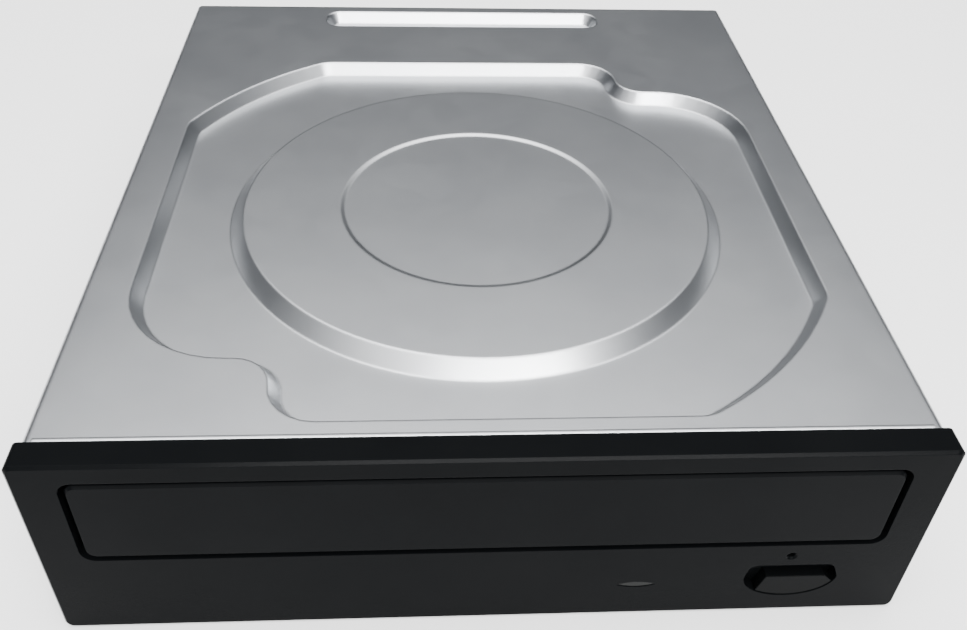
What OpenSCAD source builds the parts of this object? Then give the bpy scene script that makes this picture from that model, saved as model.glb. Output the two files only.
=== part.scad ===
// Half-height internal disc writer for a 5.25 inch bay.
// Millimetres. The front faces -Y, +Z is up, and the origin is the middle of the base.

/* [Case] */
// Width of the sheet steel case
case_w = 146.1; // [144:0.1:147]
// Height of the sheet steel case
case_h = 41.3; // [41:0.1:41.6]
// Depth of the case behind the front panel
case_d = 162; // [162:1:175]
// Thickness of the case's sheet steel
sheet_t = 0.8; // [0.6:0.1:0.9]
// Outer radius of the case's folded edges
fold_r = 1.5; // [1.2:0.1:2]
// Width of the flange folded in under each side
base_flange_w = 9; // [7.5:0.5:9.5]
// Diameter of the tapped mounting holes
mount_hole_d = 2.5; // [2.4:0.1:2.8]
// From the back of the front panel to the first mounting holes
mount_first = 47.4; // [46:0.1:49]
// Distance between the front and rear mounting holes
mount_pitch = 79.25; // [78:0.25:80]
// Height of the lower side holes above the base
mount_low = 10; // [9:0.1:11]
// Height of the upper side holes above the base
mount_high = 21.84; // [21:0.02:23]
// From the case's side to the holes in the base
mount_inset = 3.2; // [3:0.1:3.6]
// How far the pulled collar of a tapped hole stands inside
collar_h = 1.2; // [0.8:0.1:1.6]

/* [Pressing in the top] */
// Half the width of the sunk field
field_x = 64.2; // [62:0.1:66]
// Half the depth of the sunk field
field_y = 62.2; // [61:0.1:64]
// Radius of the two large corners of the field
field_arc_r = 71.6; // [70:0.1:75]
// Radius where the large corners meet the straight edges
arc_end_r = 7; // [5:0.5:10]
// Half width of the field at its two notched corners
notch_x = 36.7; // [34:0.1:40]
// Half depth of the field at its two notched corners
notch_y = 47.2; // [45:0.1:50]
// Radius of the field's outer corner on the side of each notch
side_corner_r = 19.6; // [17:0.1:22]
// Radius inside each notch
notch_r = 6.5; // [5:0.1:8]
// Radius of the field's corner at the end of each notch
end_corner_r = 8.5; // [7:0.1:10]
// How far the field's middle lies behind the plateau's
field_shift = 0.7; // [0:0.1:1.5]
// Depth of the sunk field
field_deep = 2.8; // [2:0.1:3]
// Width of the slope round the field
field_slope = 1.9; // [1:0.1:2.5]
// Radius of the raised round plateau at its top
plateau_r = 47.3; // [45:0.1:50]
// Width of the slope round the plateau
plateau_slope = 2.8; // [2:0.1:4]
// Radius of the shallow round step in the plateau
step_r = 27.9; // [25:0.1:30]
// Depth of the shallow round step
step_deep = 0.35; // [0.2:0.05:0.6]
// Length of the sunk bar at the rear
bar_l = 74; // [60:1:90]
// Width of the sunk bar at the rear
bar_w = 9.6; // [8:0.1:10]
// From the rear edge to the middle of the bar
bar_inset = 7.7; // [7.6:0.1:9]

/* [Front panel] */
// How much wider than the case the front panel is
bezel_wider = 2.1; // [1.9:0.1:2.5]
// How much taller than the case the front panel is
bezel_taller = 0.7; // [0.5:0.1:0.9]
// Thickness of the front panel over all
bezel_t = 5.3; // [5:0.1:6]
// Thickness of the front panel's face
face_t = 2.2; // [1.8:0.1:2.4]
// Thickness of the front panel's edge walls
edge_t = 1.8; // [1.4:0.1:2]
// Chamfer round the moulded front faces
face_chamfer = 0.5; // [0.2:0.1:0.6]
// From the front panel's side to the tray's opening
door_side = 7; // [6.8:0.1:7.3]
// Height of the tray's opening
door_open_h = 19.2; // [18.8:0.1:19.4]
// Height of the opening's lower edge above the base
door_open_z = 19; // [18.8:0.1:19.1]
// Gap round the tray's front
door_gap = 0.9; // [0.6:0.1:1]
// Thickness of the tray's front
door_t = 3; // [2.6:0.1:3.2]
// Corner radius of the tray's front
door_r = 1.6; // [1:0.1:2]
// From the front panel's right side to the middle of the eject button
button_side = 21.1; // [20:0.1:24]
// Height of the eject button's top edge
button_z = 10; // [9.5:0.1:10.5]
// Half the width of the button's scoop
scoop_half_w = 8.35; // [8:0.05:9]
// Depth of the scoop below the button's top edge
scoop_low = 5.5; // [5:0.1:6]
// Height of the scoop above the button's top edge
scoop_high = 3.5; // [3:0.1:4]
// Depth of the scoop above the button
scoop_deep = 1.9; // [1.5:0.1:2]
// Gap between the button and its scoop
button_gap = 0.2; // [0.15:0.05:0.3]
// Travel of the eject button
button_travel = 0.5; // [0.3:0.1:0.6]
// From the eject button to the indicator lamp's window
lamp_left = 27.3; // [25:0.1:31]
// Height of the lamp's window
lamp_z = 8.8; // [8:0.1:10]
// Width of the lamp's window
lamp_w = 7; // [5:0.5:8]
// Height of the lamp's window opening
lamp_h = 1.5; // [1.2:0.1:2]
// From the eject button's middle to the release pinhole
pinhole_left = 1.1; // [0:0.1:2]
// Height of the release pinhole
pinhole_z = 16; // [15.8:0.1:16.4]
// Diameter of the release pinhole
pinhole_d = 1.3; // [1:0.1:1.5]

/* [Disc tray] */
// From the front face back to the middle of the disc
hub_back = 70.6; // [70.2:0.1:71]
// From the case's side to the disc tray's
tray_side = 9.05; // [8.8:0.05:9.5]
// From the disc tray's rear end to the back of the case
tray_end = 7.3; // [6.2:0.1:8]
// Height of the surface that the disc lies on
seat_z = 24.2; // [24:0.1:24.4]
// Depth of the large disc recess below the rim
recess_deep = 2.4; // [2:0.1:2.5]
// Radius of the large disc recess
recess_r = 60.6; // [60.3:0.1:61]
// Radius of the small disc recess
small_r = 40.6; // [40.3:0.1:41]
// Depth of the small recess below the large one
small_deep = 0.9; // [0.6:0.1:1]
// Thickness of the tray's floors
floor_t = 1.8; // [1.6:0.1:1.9]
// Width of the slot for the pickup
slot_w = 38; // [36:0.5:40]
// From the disc's middle to the slot's rear end
slot_reach = 68.4; // [68:0.1:70]
// Radius of the tray's middle hole
middle_r = 19; // [18:0.5:20]
// Wall thickness of the tray
tray_wall = 1.6; // [1.2:0.1:1.8]
// Height of the tray's runners above the base
runner_z = 19.5; // [19.4:0.1:19.7]

/* [Loading drive] */
// Module of the tray's rack
rack_m = 1; // [1:0.1:1]
// From the tray's side to the rack's pitch line
rack_inset = 13; // [12.5:0.1:13.5]
// Module of the reduction gears
gear_m = 0.8; // [0.8:0.1:0.8]
// Teeth on the rack pinion
pinion_z = 16; // [15:1:16]
// Teeth on the drive gear's wheel
drive_z = 24; // [22:1:24]
// Teeth on the small gears
small_z = 14; // [13:1:14]
// Teeth on the middle gear's wheel
mid_z = 30; // [28:1:30]
// Backlash between teeth
backlash = 0.25; // [0.2:0.05:0.4]
// From the front face back to the drive gear's post
drive_back = 19.5; // [19:0.1:20.5]
// From the front face back to the middle gear's post
mid_back = 24.5; // [24:0.1:26]
// From the front face back to the pulley gear's post
pulley_back = 21; // [20:0.1:22]
// From the front face back to the loading motor's shaft
motor_back = 22; // [21.5:0.1:23]
// Distance from the motor shaft to the pulley gear
belt_run = 27; // [26.5:0.5:30]
// Radius of the large pulley
pulley_r = 10; // [9:0.1:10.2]
// Radius of the motor's pulley
motor_pulley_r = 3.2; // [2.8:0.1:4]
// Thickness of the drive belt
belt_t = 1.1; // [0.8:0.1:1.2]
// Diameter of the gear posts
post_d = 3; // [2.6:0.1:3.2]
// Radius of the loading motor's can
motor_r = 12.2; // [11.5:0.1:12.4]
// Running clearance between a post and its gear
post_gap = 0.08; // [0.05:0.01:0.1]

/* [Deck and lift] */
// From the lift's pivot to the back of the case
pivot_front = 25.3; // [24.9:0.1:25.5]
// Height of the lift's pivot above the base
pivot_z = 17.5; // [17.4:0.1:17.7]
// Angle that the deck drops to let the tray out
drop_deg = 6.3; // [6.2:0.05:6.4]
// Half the width of the lift frame
lift_half_w = 44; // [43.6:0.1:44.2]
// From the front face back to the lift frame's front
lift_front = 46; // [45.8:0.1:46.2]
// Height of the lift frame's section
lift_h = 4; // [3.6:0.1:4.2]
// Width of the lift frame's bars
lift_bar = 3.2; // [2.8:0.1:3.4]
// Diameter of the pins in the cam slots
cam_pin_d = 2.4; // [2:0.1:2.6]
// Half the distance between the cam pins
cam_pin_x = 16; // [14:0.5:18]
// How far the cam slider moves
cam_travel = 17; // [15:0.5:18]
// Thickness of the cam slider
cam_t = 2.4; // [2:0.1:2.6]
// Thickness of the deck's steel plate
deck_t = 1; // [0.8:0.1:1.2]
// Radius of the rubber dampers
damper_r = 3.6; // [3.2:0.1:3.8]

/* [Spindle and pickup] */
// Radius of the turntable
table_r = 14.5; // [13.5:0.1:15]
// Radius of the spindle motor's rotor
rotor_r = 12.2; // [11:0.1:13]
// Height of the turntable's face when the deck is up
table_z = 26.6; // [26.4:0.1:26.7]
// Radius of the centring cone
cone_r = 7.4; // [7.2:0.1:7.45]
// Height of the centring cone above the turntable's face
cone_h = 2.6; // [2.2:0.1:2.6]
// Diameter of the guide rods
rod_d = 3; // [2.6:0.1:3.2]
// Half the distance between the guide rods
rod_x = 26; // [25:0.5:27]
// Place of the lead screw across the deck
screw_x = 34; // [33.8:0.1:34.4]
// Diameter of the lead screw
screw_d = 2.6; // [2.2:0.1:2.8]
// Radius of the disc's first track at the lens
lens_first = 23; // [22.8:0.1:24]

/* [Clamp] */
// Height of the clamp bridge's underside
bridge_z = 31; // [30.6:0.1:31.4]
// Thickness of the clamp bridge
bridge_t = 1; // [0.8:0.1:1.2]
// Width of the clamp bridge from front to rear
bridge_w = 42; // [40:1:50]
// Radius of the clamper's pressing ring
clamper_r = 14; // [13:0.1:14.5]
// Free play round the clamper in its bridge
clamper_play = 0.6; // [0.4:0.1:0.8]
// Radius of the clamper's top flange
clamper_flange_r = 18; // [17:0.1:20]

/* [Boards and screws] */
// Thickness of the circuit boards
board_t = 1.6; // [1.4:0.1:1.6]
// Height of the main board's underside
board_z = 2.6; // [2.5:0.1:2.8]
// Half the width of the main board
board_half_w = 55; // [54:0.5:56]
// From the front face back to the main board's front edge
board_front = 62; // [60:1:66]
// From the main board's rear edge to the back of the case
board_end = 10.3; // [10.3:0.1:16]
// Width of the data and power connector
socket_w = 41; // [40:0.5:43]
// Place of the data and power connector across the rear
socket_x = -28; // [-30:0.5:-26]
// Diameter of the case screws
screw_shank_d = 2.6; // [2.4:0.1:2.8]
// Radius of the case screws' heads
screw_head_r = 2.6; // [2.4:0.1:2.8]

/* [Hidden] */
$fn = 64;
e = 0.01;

// Places that the pieces share
bezel_w = case_w + bezel_wider;
bezel_h = case_h + bezel_taller;
total_d = bezel_t + case_d;
front_y = -total_d / 2;
case_z = (bezel_h - case_h) / 2;
top_z = case_z + case_h;
hub_y = front_y + hub_back;
tray_w = case_w - 2 * tray_side;
tray_l = total_d - tray_end - door_t - 0.2;
rack_x = tray_w / 2 - rack_inset;
pivot_back = total_d - pivot_front;
board_l = total_d - board_end - board_front;
door_open_w = bezel_w - 2 * door_side;
button_x = bezel_w / 2 - button_side;
lamp_x = button_x - lamp_left;
pinhole_x = button_x - pinhole_left;
rim_z = seat_z + recess_deep;
upright_top = door_open_z + 13;
floor_under = seat_z - floor_t;
small_under = floor_under - 0.5;
case_in = case_w / 2 - sheet_t;
wall_in = tray_w / 2 + 0.6;
wall_t = 2;
wall_out = wall_in + wall_t;
frame_top = bridge_z;
floor_top = 9.6;
frame_floor_t = 1.6;
frame_base = case_z + sheet_t;
frame_front = 7;
frame_rear = total_d - sheet_t - 6.5;
opening_front = 45.4;
opening_rear = pivot_back + 4.6;
opening_half_w = lift_half_w + 2.5;
ribbon_x = 42;
ribbon_w = 8;

// Places of the loading gears
pinion_r = rack_m * pinion_z / 2;
drive_r = gear_m * drive_z / 2;
small_gear_r = gear_m * small_z / 2;
mid_r = gear_m * mid_z / 2;
drive_x = rack_x - pinion_r;
mid_x = drive_x - sqrt(pow(drive_r + small_gear_r, 2) - pow(mid_back - drive_back, 2));
pulley_x = mid_x - sqrt(pow(mid_r + small_gear_r, 2) - pow(mid_back - pulley_back, 2));
motor_x = pulley_x - sqrt(pow(belt_run, 2) - pow(motor_back - pulley_back, 2));
wheel_t = 2;
low_gear_z = floor_top + 0.6;
high_gear_z = low_gear_z + wheel_t + 0.4;
gear_top_z = high_gear_z + wheel_t;
belt_z = high_gear_z + 1.5;
rack_h = 2.2;

// Places on the lift and its slider, with the deck up
lift_rear = pivot_back + 2;
lift_z = pivot_z - lift_h / 2 - 0.3;
cam_d = lift_front - 1.2 - cam_t;
cam_reach = 31;
cam_lever = pivot_back - lift_front + 1.2 + cam_t / 2;
cam_rise = cam_lever * sin(drop_deg);
cam_gap = 0.4;
cam_low = 3.6;
cam_high = pivot_z + 2.9;
deck_z = pivot_z - 0.2;
rod_z = deck_z + deck_t / 2;
screw_end_r = 0.75;
window_front = hub_back + 14.5;
window_rear = lift_rear - lift_bar - 1.6;
sled_front = 7;
sled_back = 9.6;
screw_z = rod_z - 1.2;
screw_rear = window_rear - 9.4;
window_half_w = 36.8;
deck_rear = lift_rear - lift_bar - 0.4;
deck_half_w = lift_half_w - lift_bar - 0.4;
ear = 9;
damper_x = deck_half_w - ear / 2;
damper_front = lift_front + lift_bar + 0.6 + ear / 2;
damper_rear = lift_rear - lift_bar - 0.9 - ear / 2;
damper_places = [[-1, damper_front], [1, damper_front], [-1, damper_rear], [1, damper_rear]];

// Corners of the case and board screws, as [x, distance back]
cover_screw_x = case_in - base_flange_w - 6.75;
cover_screw_rear = total_d - 14.8;
board_screw_rear = total_d - 17.3;
cover_screw_places = [
    [-cover_screw_x, 34], [cover_screw_x, 34], [-cover_screw_x, cover_screw_rear], [cover_screw_x, cover_screw_rear]
];
board_screw_places = [[-50, 92], [50, 92], [-48, board_screw_rear], [48, board_screw_rear]];
base_beads = [50, total_d - 57.3];
bridge_screw_places = [[-1, -1], [1, -1], [-1, 1], [1, 1]];

// Colours of the real materials
zinc = [0.66, 0.68, 0.70];
black_abs = [0.12, 0.13, 0.14];
grey_abs = [0.25, 0.26, 0.28];
ivory = [0.85, 0.83, 0.76];
steel = [0.72, 0.73, 0.74];
rubber = [0.08, 0.08, 0.08];
green_board = [0.07, 0.33, 0.17];
chip_black = [0.10, 0.10, 0.11];
glass_blue = [0.55, 0.62, 0.72];
lamp_green = [0.45, 0.70, 0.42];

// Distance behind the front face, as a y value
function back(d) = front_y + d;

function unit(v) = v / norm(v);

// Points along an arc about c, from angle a0 to a1
function arc(c, r, a0, a1, n = 8) = [
    for (i = [0 : n]) let (a = a0 + (a1 - a0) * i / n) [c[0] + r * cos(a), c[1] + r * sin(a)]
];

// Points that round the corner b between its neighbours a and c
function rounded(a, b, c, r, n = 6) =
    let (
        u = unit(a - b),
        v = unit(c - b),
        half = acos(u * v) / 2,
        mid = b + unit(u + v) * r / sin(half),
        p0 = b + u * r / tan(half) - mid,
        p1 = b + v * r / tan(half) - mid,
        a0 = atan2(p0[1], p0[0]),
        turn = atan2(p1[1], p1[0]) - a0,
        sweep = turn > 180 ? turn - 360 : turn < -180 ? turn + 360 : turn
    )
    arc(mid, r, a0, a0 + sweep, n);

// Half of the sunk field's outline, drawn in by s all round
function field_half(s) =
    let (
        x = field_x - s,
        y = field_y - s,
        nx = notch_x - s,
        ny = notch_y - s,
        r = field_arc_r - s,
        f = arc_end_r - s,
        c0 = [sqrt(pow(r - f, 2) - pow(y - f, 2)), f - y],
        c1 = [x - f, -sqrt(pow(r - f, 2) - pow(x - f, 2))],
        a0 = atan2(c0[1], c0[0]),
        a1 = atan2(c1[1], c1[0]),
        inside = (a1 - a0) / 10
    )
    concat(
        arc(c0, f, -90, a0, 6),
        arc([0, 0], r, a0 + inside, a1 - inside),
        arc(c1, f, a1, 0, 6),
        rounded([x, 0], [x, ny], [nx, ny], side_corner_r - s, 10),
        rounded([x, ny], [nx, ny], [nx, y], notch_r + s),
        rounded([nx, ny], [nx, y], [0, y], end_corner_r - s)
    );

function field_outline(s) = concat(field_half(s), [for (p = field_half(s)) -p]);

// One side of an involute tooth: points at radius r and angle off the tooth's middle
function involute_angle(r, base) = r <= base ? 0 : sqrt(pow(r / base, 2) - 1) * 180 / PI - acos(base / r);

function flank(m, z, slack, n = 4) =
    let (
        pitch = m * z / 2,
        base = pitch * cos(20),
        tip = pitch + 0.9 * m,
        root = pitch - 1.15 * m,
        start = max(base, root),
        half = 90 / z - slack / pitch * 90 / PI,
        lead = involute_angle(pitch, base)
    )
    concat(
        start > root ? [[root, half + lead + 0.6]] : [],
        [for (i = [0 : n]) let (r = start + (tip - start) * i / n) [r, half + lead - involute_angle(r, base)]]
    );

// Closed outline of a spur gear with a tooth centred on angle 0
function gear_points(m, z, slack) =
    let (side = flank(m, z, slack), n = len(side))
    [for (k = [0 : z - 1], j = [0 : 2 * n - 1])
        let (p = j < n ? side[j] : side[2 * n - 1 - j],
             a = 360 * k / z + (j < n ? -p[1] : p[1]))
        p[0] * [cos(a), sin(a)]];

// Outline of a box with rounded corners, made of true arcs
module rounded_box(w, h, r) {
    square([w - 2 * r, h], center = true);
    square([w, h - 2 * r], center = true);
    for (x = [-1, 1], y = [-1, 1]) {
        translate([x * (w / 2 - r), y * (h / 2 - r)]) circle(r);
    }
}

// Long hole with round ends between two points
module long_hole(a, b, r) {
    d = b - a;
    translate(a) circle(r);
    translate(b) circle(r);
    translate((a + b) / 2) rotate(atan2(d[1], d[0])) square([norm(d), 2 * r], center = true);
}

// Stands an outline drawn in x and z upright and runs it back from d by l
module upright(d, l) {
    translate([0, back(d) + l, 0]) rotate([90, 0, 0]) linear_extrude(l) children();
}

module block(x0, x1, d0, d1, z0, z1) {
    translate([x0, back(d0), z0]) cube([x1 - x0, d1 - d0, z1 - z0]);
}

// The same piece on the left and on the right
module both_sides() {
    children();
    mirror([1, 0, 0]) children();
}

module pin(x, d, z0, z1, r) {
    translate([x, back(d), z0]) cylinder(r = r, h = z1 - z0);
}

// Turns what stands on the lift, from its raised place to the dropped one at rest
module dropped() {
    translate([0, back(pivot_back), pivot_z]) rotate([drop_deg, 0, 0])
        translate([0, -back(pivot_back), -pivot_z]) children();
}

// The sunk field as a solid, widening upwards, and drawn out by grow all round
module field_cut(grow) {
    over = 0.5;
    low = field_outline(field_slope - grow);
    high = field_outline(-field_slope * over / field_deep - grow);
    n = len(low);
    polyhedron(
        concat(
            [for (p = low) [p[0], p[1], -field_deep]],
            [for (p = high) [p[0], p[1], over]],
            [[0, 0, -field_deep], [0, 0, over]]
        ),
        concat(
            [for (i = [0 : n - 1]) [i, (i + 1) % n, 2 * n]],
            [for (i = [0 : n - 1]) [n + (i + 1) % n, n + i, 2 * n + 1]],
            [for (i = [0 : n - 1]) [i, n + i, (i + 1) % n]],
            [for (i = [0 : n - 1]) [(i + 1) % n, n + i, n + (i + 1) % n]]
        ),
        convexity = 6
    );
}

// The case's outer form, or its inner form when drawn in by t
module case_form(t) {
    mid_z = case_z + case_h / 2;
    over = 0.5;
    grow = t * tan(atan2(field_deep, field_slope) / 2);
    difference() {
        translate([0, 0, mid_z])
            upright(bezel_t - (t > 0 ? 1 : 0), case_d + (t > 0 ? 1 - t : 0))
                rounded_box(case_w - 2 * t, case_h - 2 * t, fold_r - t);
        translate([0, hub_y + field_shift, top_z - t]) difference() {
            field_cut(grow);
            translate([0, -field_shift, -field_deep - 1])
                cylinder(r1 = plateau_r + plateau_slope * (1 + 1 / field_deep) - grow,
                         r2 = plateau_r - plateau_slope * over / field_deep - grow,
                         h = field_deep + 1 + over);
        }
        translate([0, hub_y, top_z - t - step_deep])
            cylinder(r1 = step_r - 0.8, r2 = step_r + 0.8, h = 2 * step_deep);
        translate([0, back(total_d - bar_inset), top_z - t]) bar_cut();
    }
}

// The sunk bar near the rear edge, with sloping sides
module bar_cut() {
    slope = 1.8;
    hull() {
        translate([0, 0, 0.2]) linear_extrude(0.1) rounded_box(bar_l, bar_w, bar_w / 2 - 1);
        translate([0, 0, -field_deep]) linear_extrude(0.1)
            rounded_box(bar_l - 2 * slope, bar_w - 2 * slope, bar_w / 2 - 1 - slope);
    }
}

// Folded top, sides, rear and base flanges in one sheet
module top_cover() color(zinc) {
    difference() {
        union() {
            difference() {
                case_form(0);
                case_form(sheet_t);
            }
            mount_collars();
        }
        block(-case_in + base_flange_w, case_in - base_flange_w, bezel_t - 1, total_d - sheet_t, -1, frame_base + 1);
        block(-case_in + base_flange_w, case_in - base_flange_w, bezel_t - 1, total_d + 1, -1, case_z + 1.6);
        block(socket_x - socket_w / 2 - 1.2, socket_x + socket_w / 2 + 1.2, total_d - 3, total_d + 1, -1, 12.2);
        mount_drills();
        latch_windows();
    }
}

module mount_places(side) {
    for (d = [bezel_t + mount_first, bezel_t + mount_first + mount_pitch]) {
        for (z = [mount_low, mount_high]) {
            translate([side * case_w / 2, back(d), case_z + z]) rotate([0, -90 * side, 0]) children();
        }
        translate([side * (case_w / 2 - mount_inset), back(d), case_z]) children();
    }
}

module mount_collars() {
    for (side = [-1, 1]) {
        mount_places(side) translate([0, 0, sheet_t / 2])
            cylinder(r = mount_hole_d / 2 + 0.9, h = sheet_t / 2 + collar_h);
    }
}

module mount_drills() {
    for (side = [-1, 1]) {
        mount_places(side) translate([0, 0, -1]) cylinder(d = mount_hole_d, h = 2 + sheet_t + collar_h);
    }
}

// Windows in the sides that the front panel's hooks snap into
module latch_windows() {
    both_sides() block(case_in - 1, case_w / 2 + 1, bezel_t + 4.6, bezel_t + 7.2, 22.5, 29.5);
}

// Flat base plate with dished screw seats, between the base flanges
module bottom_cover() color(zinc) {
    edge = case_in - base_flange_w - 0.5;
    dish = 1.3;
    difference() {
        union() {
            block(-edge, edge, bezel_t + 0.3, total_d - 1.2, case_z, frame_base);
            for (p = cover_screw_places) pin(p[0], p[1], case_z, frame_base + dish, 5);
            for (d = base_beads) base_bead(d, 0);
        }
        for (p = cover_screw_places) {
            pin(p[0], p[1], case_z - 1, case_z + dish, 4.2);
            pin(p[0], p[1], case_z - 1, frame_base + dish + 1, screw_shank_d / 2 + 0.25);
        }
        for (d = base_beads) base_bead(d, sheet_t);
        for (i = [-4 : 4]) translate([i * 7, back(total_d - 22), -1]) linear_extrude(4)
            long_hole([0, -5], [0, 5], 1.2);
    }
}

// Stiffening bead pressed up into the base plate
module base_bead(d, t) {
    translate([0, back(d), case_z - (t > 0 ? 1 : 0)]) linear_extrude((t > 0 ? 1 : sheet_t) + 0.6)
        long_hole([-32, 0], [32, 0], 4 - t);
}

module bezel_outline(s) {
    translate([0, bezel_h / 2]) rounded_box(bezel_w - 2 * s, bezel_h - 2 * s, 1.2);
}

module door_outline(s) {
    translate([0, door_open_z + door_open_h / 2])
        rounded_box(door_open_w - 2 * s, door_open_h - 2 * s, door_r + door_gap - min(s, door_gap));
}

// Scoop in the front panel that shows above and beside the button
function scoop_outline(s) =
    let (w = scoop_half_w - s, h = scoop_high - s)
    concat(
        [for (i = [0 : 20]) let (a = 180 + 9 * i) [w * cos(a), (scoop_low - s) * sin(a)]],
        rounded([w, 0], [w - 1.4, h], [0, h], 1.8, 5),
        rounded([0, h], [-w + 0.6, h], [-w, 0], 1.6, 5)
    );

module scoop(s) {
    translate([button_x, button_z]) polygon(scoop_outline(s));
}

module front_bezel() color(black_abs) {
    difference() {
        union() {
            difference() {
                hull() {
                    upright(face_chamfer, bezel_t - face_chamfer) bezel_outline(0);
                    upright(0, face_chamfer) bezel_outline(face_chamfer);
                }
                upright(face_t, bezel_t) bezel_outline(edge_t);
            }
            upright(face_t - e, bezel_t - face_t + e) door_outline(-1.4);
            upright(face_t - e, 1) scoop_above(-1.2, -0.1);
            upright(face_t - e, 2) translate([pinhole_x, pinhole_z]) circle(2);
            upright(face_t - e, 2) translate([lamp_x, lamp_z]) rounded_box(lamp_w + 2, lamp_h + 2, 1);
            bezel_hooks();
        }
        upright(-1, bezel_t + 2) door_outline(0);
        upright(-1, 1 + scoop_deep) scoop(0);
        upright(-1, bezel_t + 2) difference() {
            scoop(0);
            scoop_above(-1, 0.35);
        }
        upright(-1, bezel_t + 2) translate([pinhole_x, pinhole_z]) circle(d = pinhole_d);
        translate([pinhole_x, back(-e), pinhole_z]) rotate([-90, 0, 0])
            cylinder(r1 = pinhole_d / 2 + 0.35, r2 = pinhole_d / 2, h = 0.35);
        upright(-1, bezel_t + 2) lamp_outline(0);
    }
}

// The part of the scoop's outline above the button
module scoop_above(s, lift) {
    intersection() {
        scoop(s);
        translate([button_x - 15, button_z + lift]) square([30, 10]);
    }
}

// Spring hooks that hold the front panel in the case's side windows
module bezel_hooks() {
    both_sides() {
        difference() {
            block(case_in - 1.8, case_in - 0.4, face_t, bezel_t + 6.8, 23, 29);
            block(case_in - 3, case_in - 1, bezel_t + 1, bezel_t + 8, 22, 30);
        }
        block(case_in - 1, case_in + 0.3, bezel_t + 5, bezel_t + 6.8, 23, 29);
    }
}

// Pointed oval of the lamp's window, drawn in by s
module lamp_outline(s) {
    r = (lamp_w * lamp_w + lamp_h * lamp_h) / lamp_h / 4;
    intersection() {
        translate([lamp_x, lamp_z + r - lamp_h / 2]) circle(r - s, $fn = 160);
        translate([lamp_x, lamp_z - r + lamp_h / 2]) circle(r - s, $fn = 160);
    }
}

module led_lens() color(lamp_green) {
    upright(0.1, bezel_t - 0.6) lamp_outline(0.12);
    upright(bezel_t - 1.1, 0.6) translate([lamp_x, lamp_z]) rounded_box(lamp_w + 1, lamp_h + 1, 0.6);
}

// Front of the tray, with the clips that hold it on the tray's upright
module tray_door() color(black_abs) {
    hull() {
        upright(face_chamfer, door_t - face_chamfer) door_outline(door_gap);
        upright(0, face_chamfer) door_outline(door_gap + face_chamfer * 0.7);
    }
    for (x = [-46, 0, 46]) {
        block(x - 4, x + 4, door_t - e, door_t + 4, upright_top + 0.4, upright_top + 1.6);
        block(x - 4, x + 4, door_t + 2.4, door_t + 4, upright_top - 0.4, upright_top + 0.4 + e);
    }
}

module tray_upright() {
    block(6 - tray_w / 2, tray_w / 2 - 6, door_t + 0.2, door_t + 2, runner_z + 0.6, upright_top);
    for (x = [-52, -26, 26, 52]) {
        translate([x - tray_wall / 2, back(door_t + 1.9), rim_z - 0.5]) rotate([90, 0, 90])
            linear_extrude(tray_wall) polygon([[0, 0], [4.4, 0], [0, 5]]);
    }
}

module disc_tray() color(grey_abs) {
    difference() {
        union() {
            block(-tray_w / 2, tray_w / 2, door_t + 0.2, door_t + 0.2 + tray_l, rim_z - 2, rim_z);
            pin(0, hub_back, floor_under, rim_z, recess_r + tray_wall);
            pin(0, hub_back, small_under, seat_z, small_r + tray_wall);
            both_sides() block(tray_w / 2 - 2, tray_w / 2, door_t + 0.2, door_t + 0.2 + tray_l, runner_z, rim_z);
            block(-tray_w / 2, tray_w / 2, tray_l + door_t - 1.6, tray_l + door_t + 0.2, floor_under, rim_z);
            tray_upright();
            tray_ribs();
            tray_rack();
        }
        pin(0, hub_back, seat_z, rim_z + 1, recess_r);
        pin(0, hub_back, seat_z - small_deep, rim_z, small_r);
        pin(0, hub_back, 0, rim_z + 1, middle_r);
        translate([0, hub_y, 0]) linear_extrude(rim_z + 1) tray_slot();
        finger_notches();
    }
    disc_tabs();
}

module tray_slot() {
    r = 5;
    translate([-slot_w / 2, 0]) square([slot_w, slot_reach - r]);
    translate([-slot_w / 2 + r, 0]) square([slot_w - 2 * r, slot_reach]);
    for (x = [-1, 1]) translate([x * (slot_w / 2 - r), slot_reach - r]) circle(r);
}

// Hollows at the tray's front corners that let a fingertip under the disc
module finger_notches() {
    for (x = [-1, 1]) translate([x * 49, hub_y - 49, seat_z - 0.4]) cylinder(r = 11, h = 10);
}

// Small lips over the disc's edge that hold it when the drive stands on its side
module disc_tabs() {
    for (a = [38, 142, 218, 322]) {
        translate([0, hub_y, rim_z - 0.9]) rotate(a) translate([recess_r - 1.4, -3, 0]) cube([3, 6, 0.9]);
    }
}

// Webs under the tray's deck behind the disc recess
module tray_ribs() {
    d_rear = tray_l + door_t;
    for (x = [-44, -30, 30, 44]) {
        block(x - 0.7, x + 0.7, hub_back + 54, d_rear, floor_under, rim_z - 1);
    }
    block(-tray_w / 2, tray_w / 2, hub_back + slot_reach + 1.4, hub_back + slot_reach + 2.8, floor_under, rim_z - 1);
}

module tray_rack() {
    root_x = rack_x + 1.15 * rack_m;
    pitch = PI * rack_m;
    last = tray_l + door_t - 1;
    count = floor((last - 9) / pitch / 2) * 2;
    block(root_x, root_x + 2.2, 8, last, runner_z, rim_z - 1);
    half = pitch / 4 - backlash / 2;
    lean = tan(20) * rack_m;
    for (k = [-3 : count]) {
        y = back(drive_back) + (k + 0.5) * pitch;
        if (y > back(8) + pitch && y < back(last) - pitch) {
            translate([0, y, runner_z]) linear_extrude(rack_h) polygon([
                [root_x + 0.2, -half - lean * 1.15],
                [root_x, -half - lean * 1.15],
                [rack_x - 0.9 * rack_m, -half + lean * 0.9],
                [rack_x - 0.9 * rack_m, half - lean * 0.9],
                [root_x, half + lean * 1.15],
                [root_x + 0.2, half + lean * 1.15]
            ]);
        }
    }
}

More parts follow.
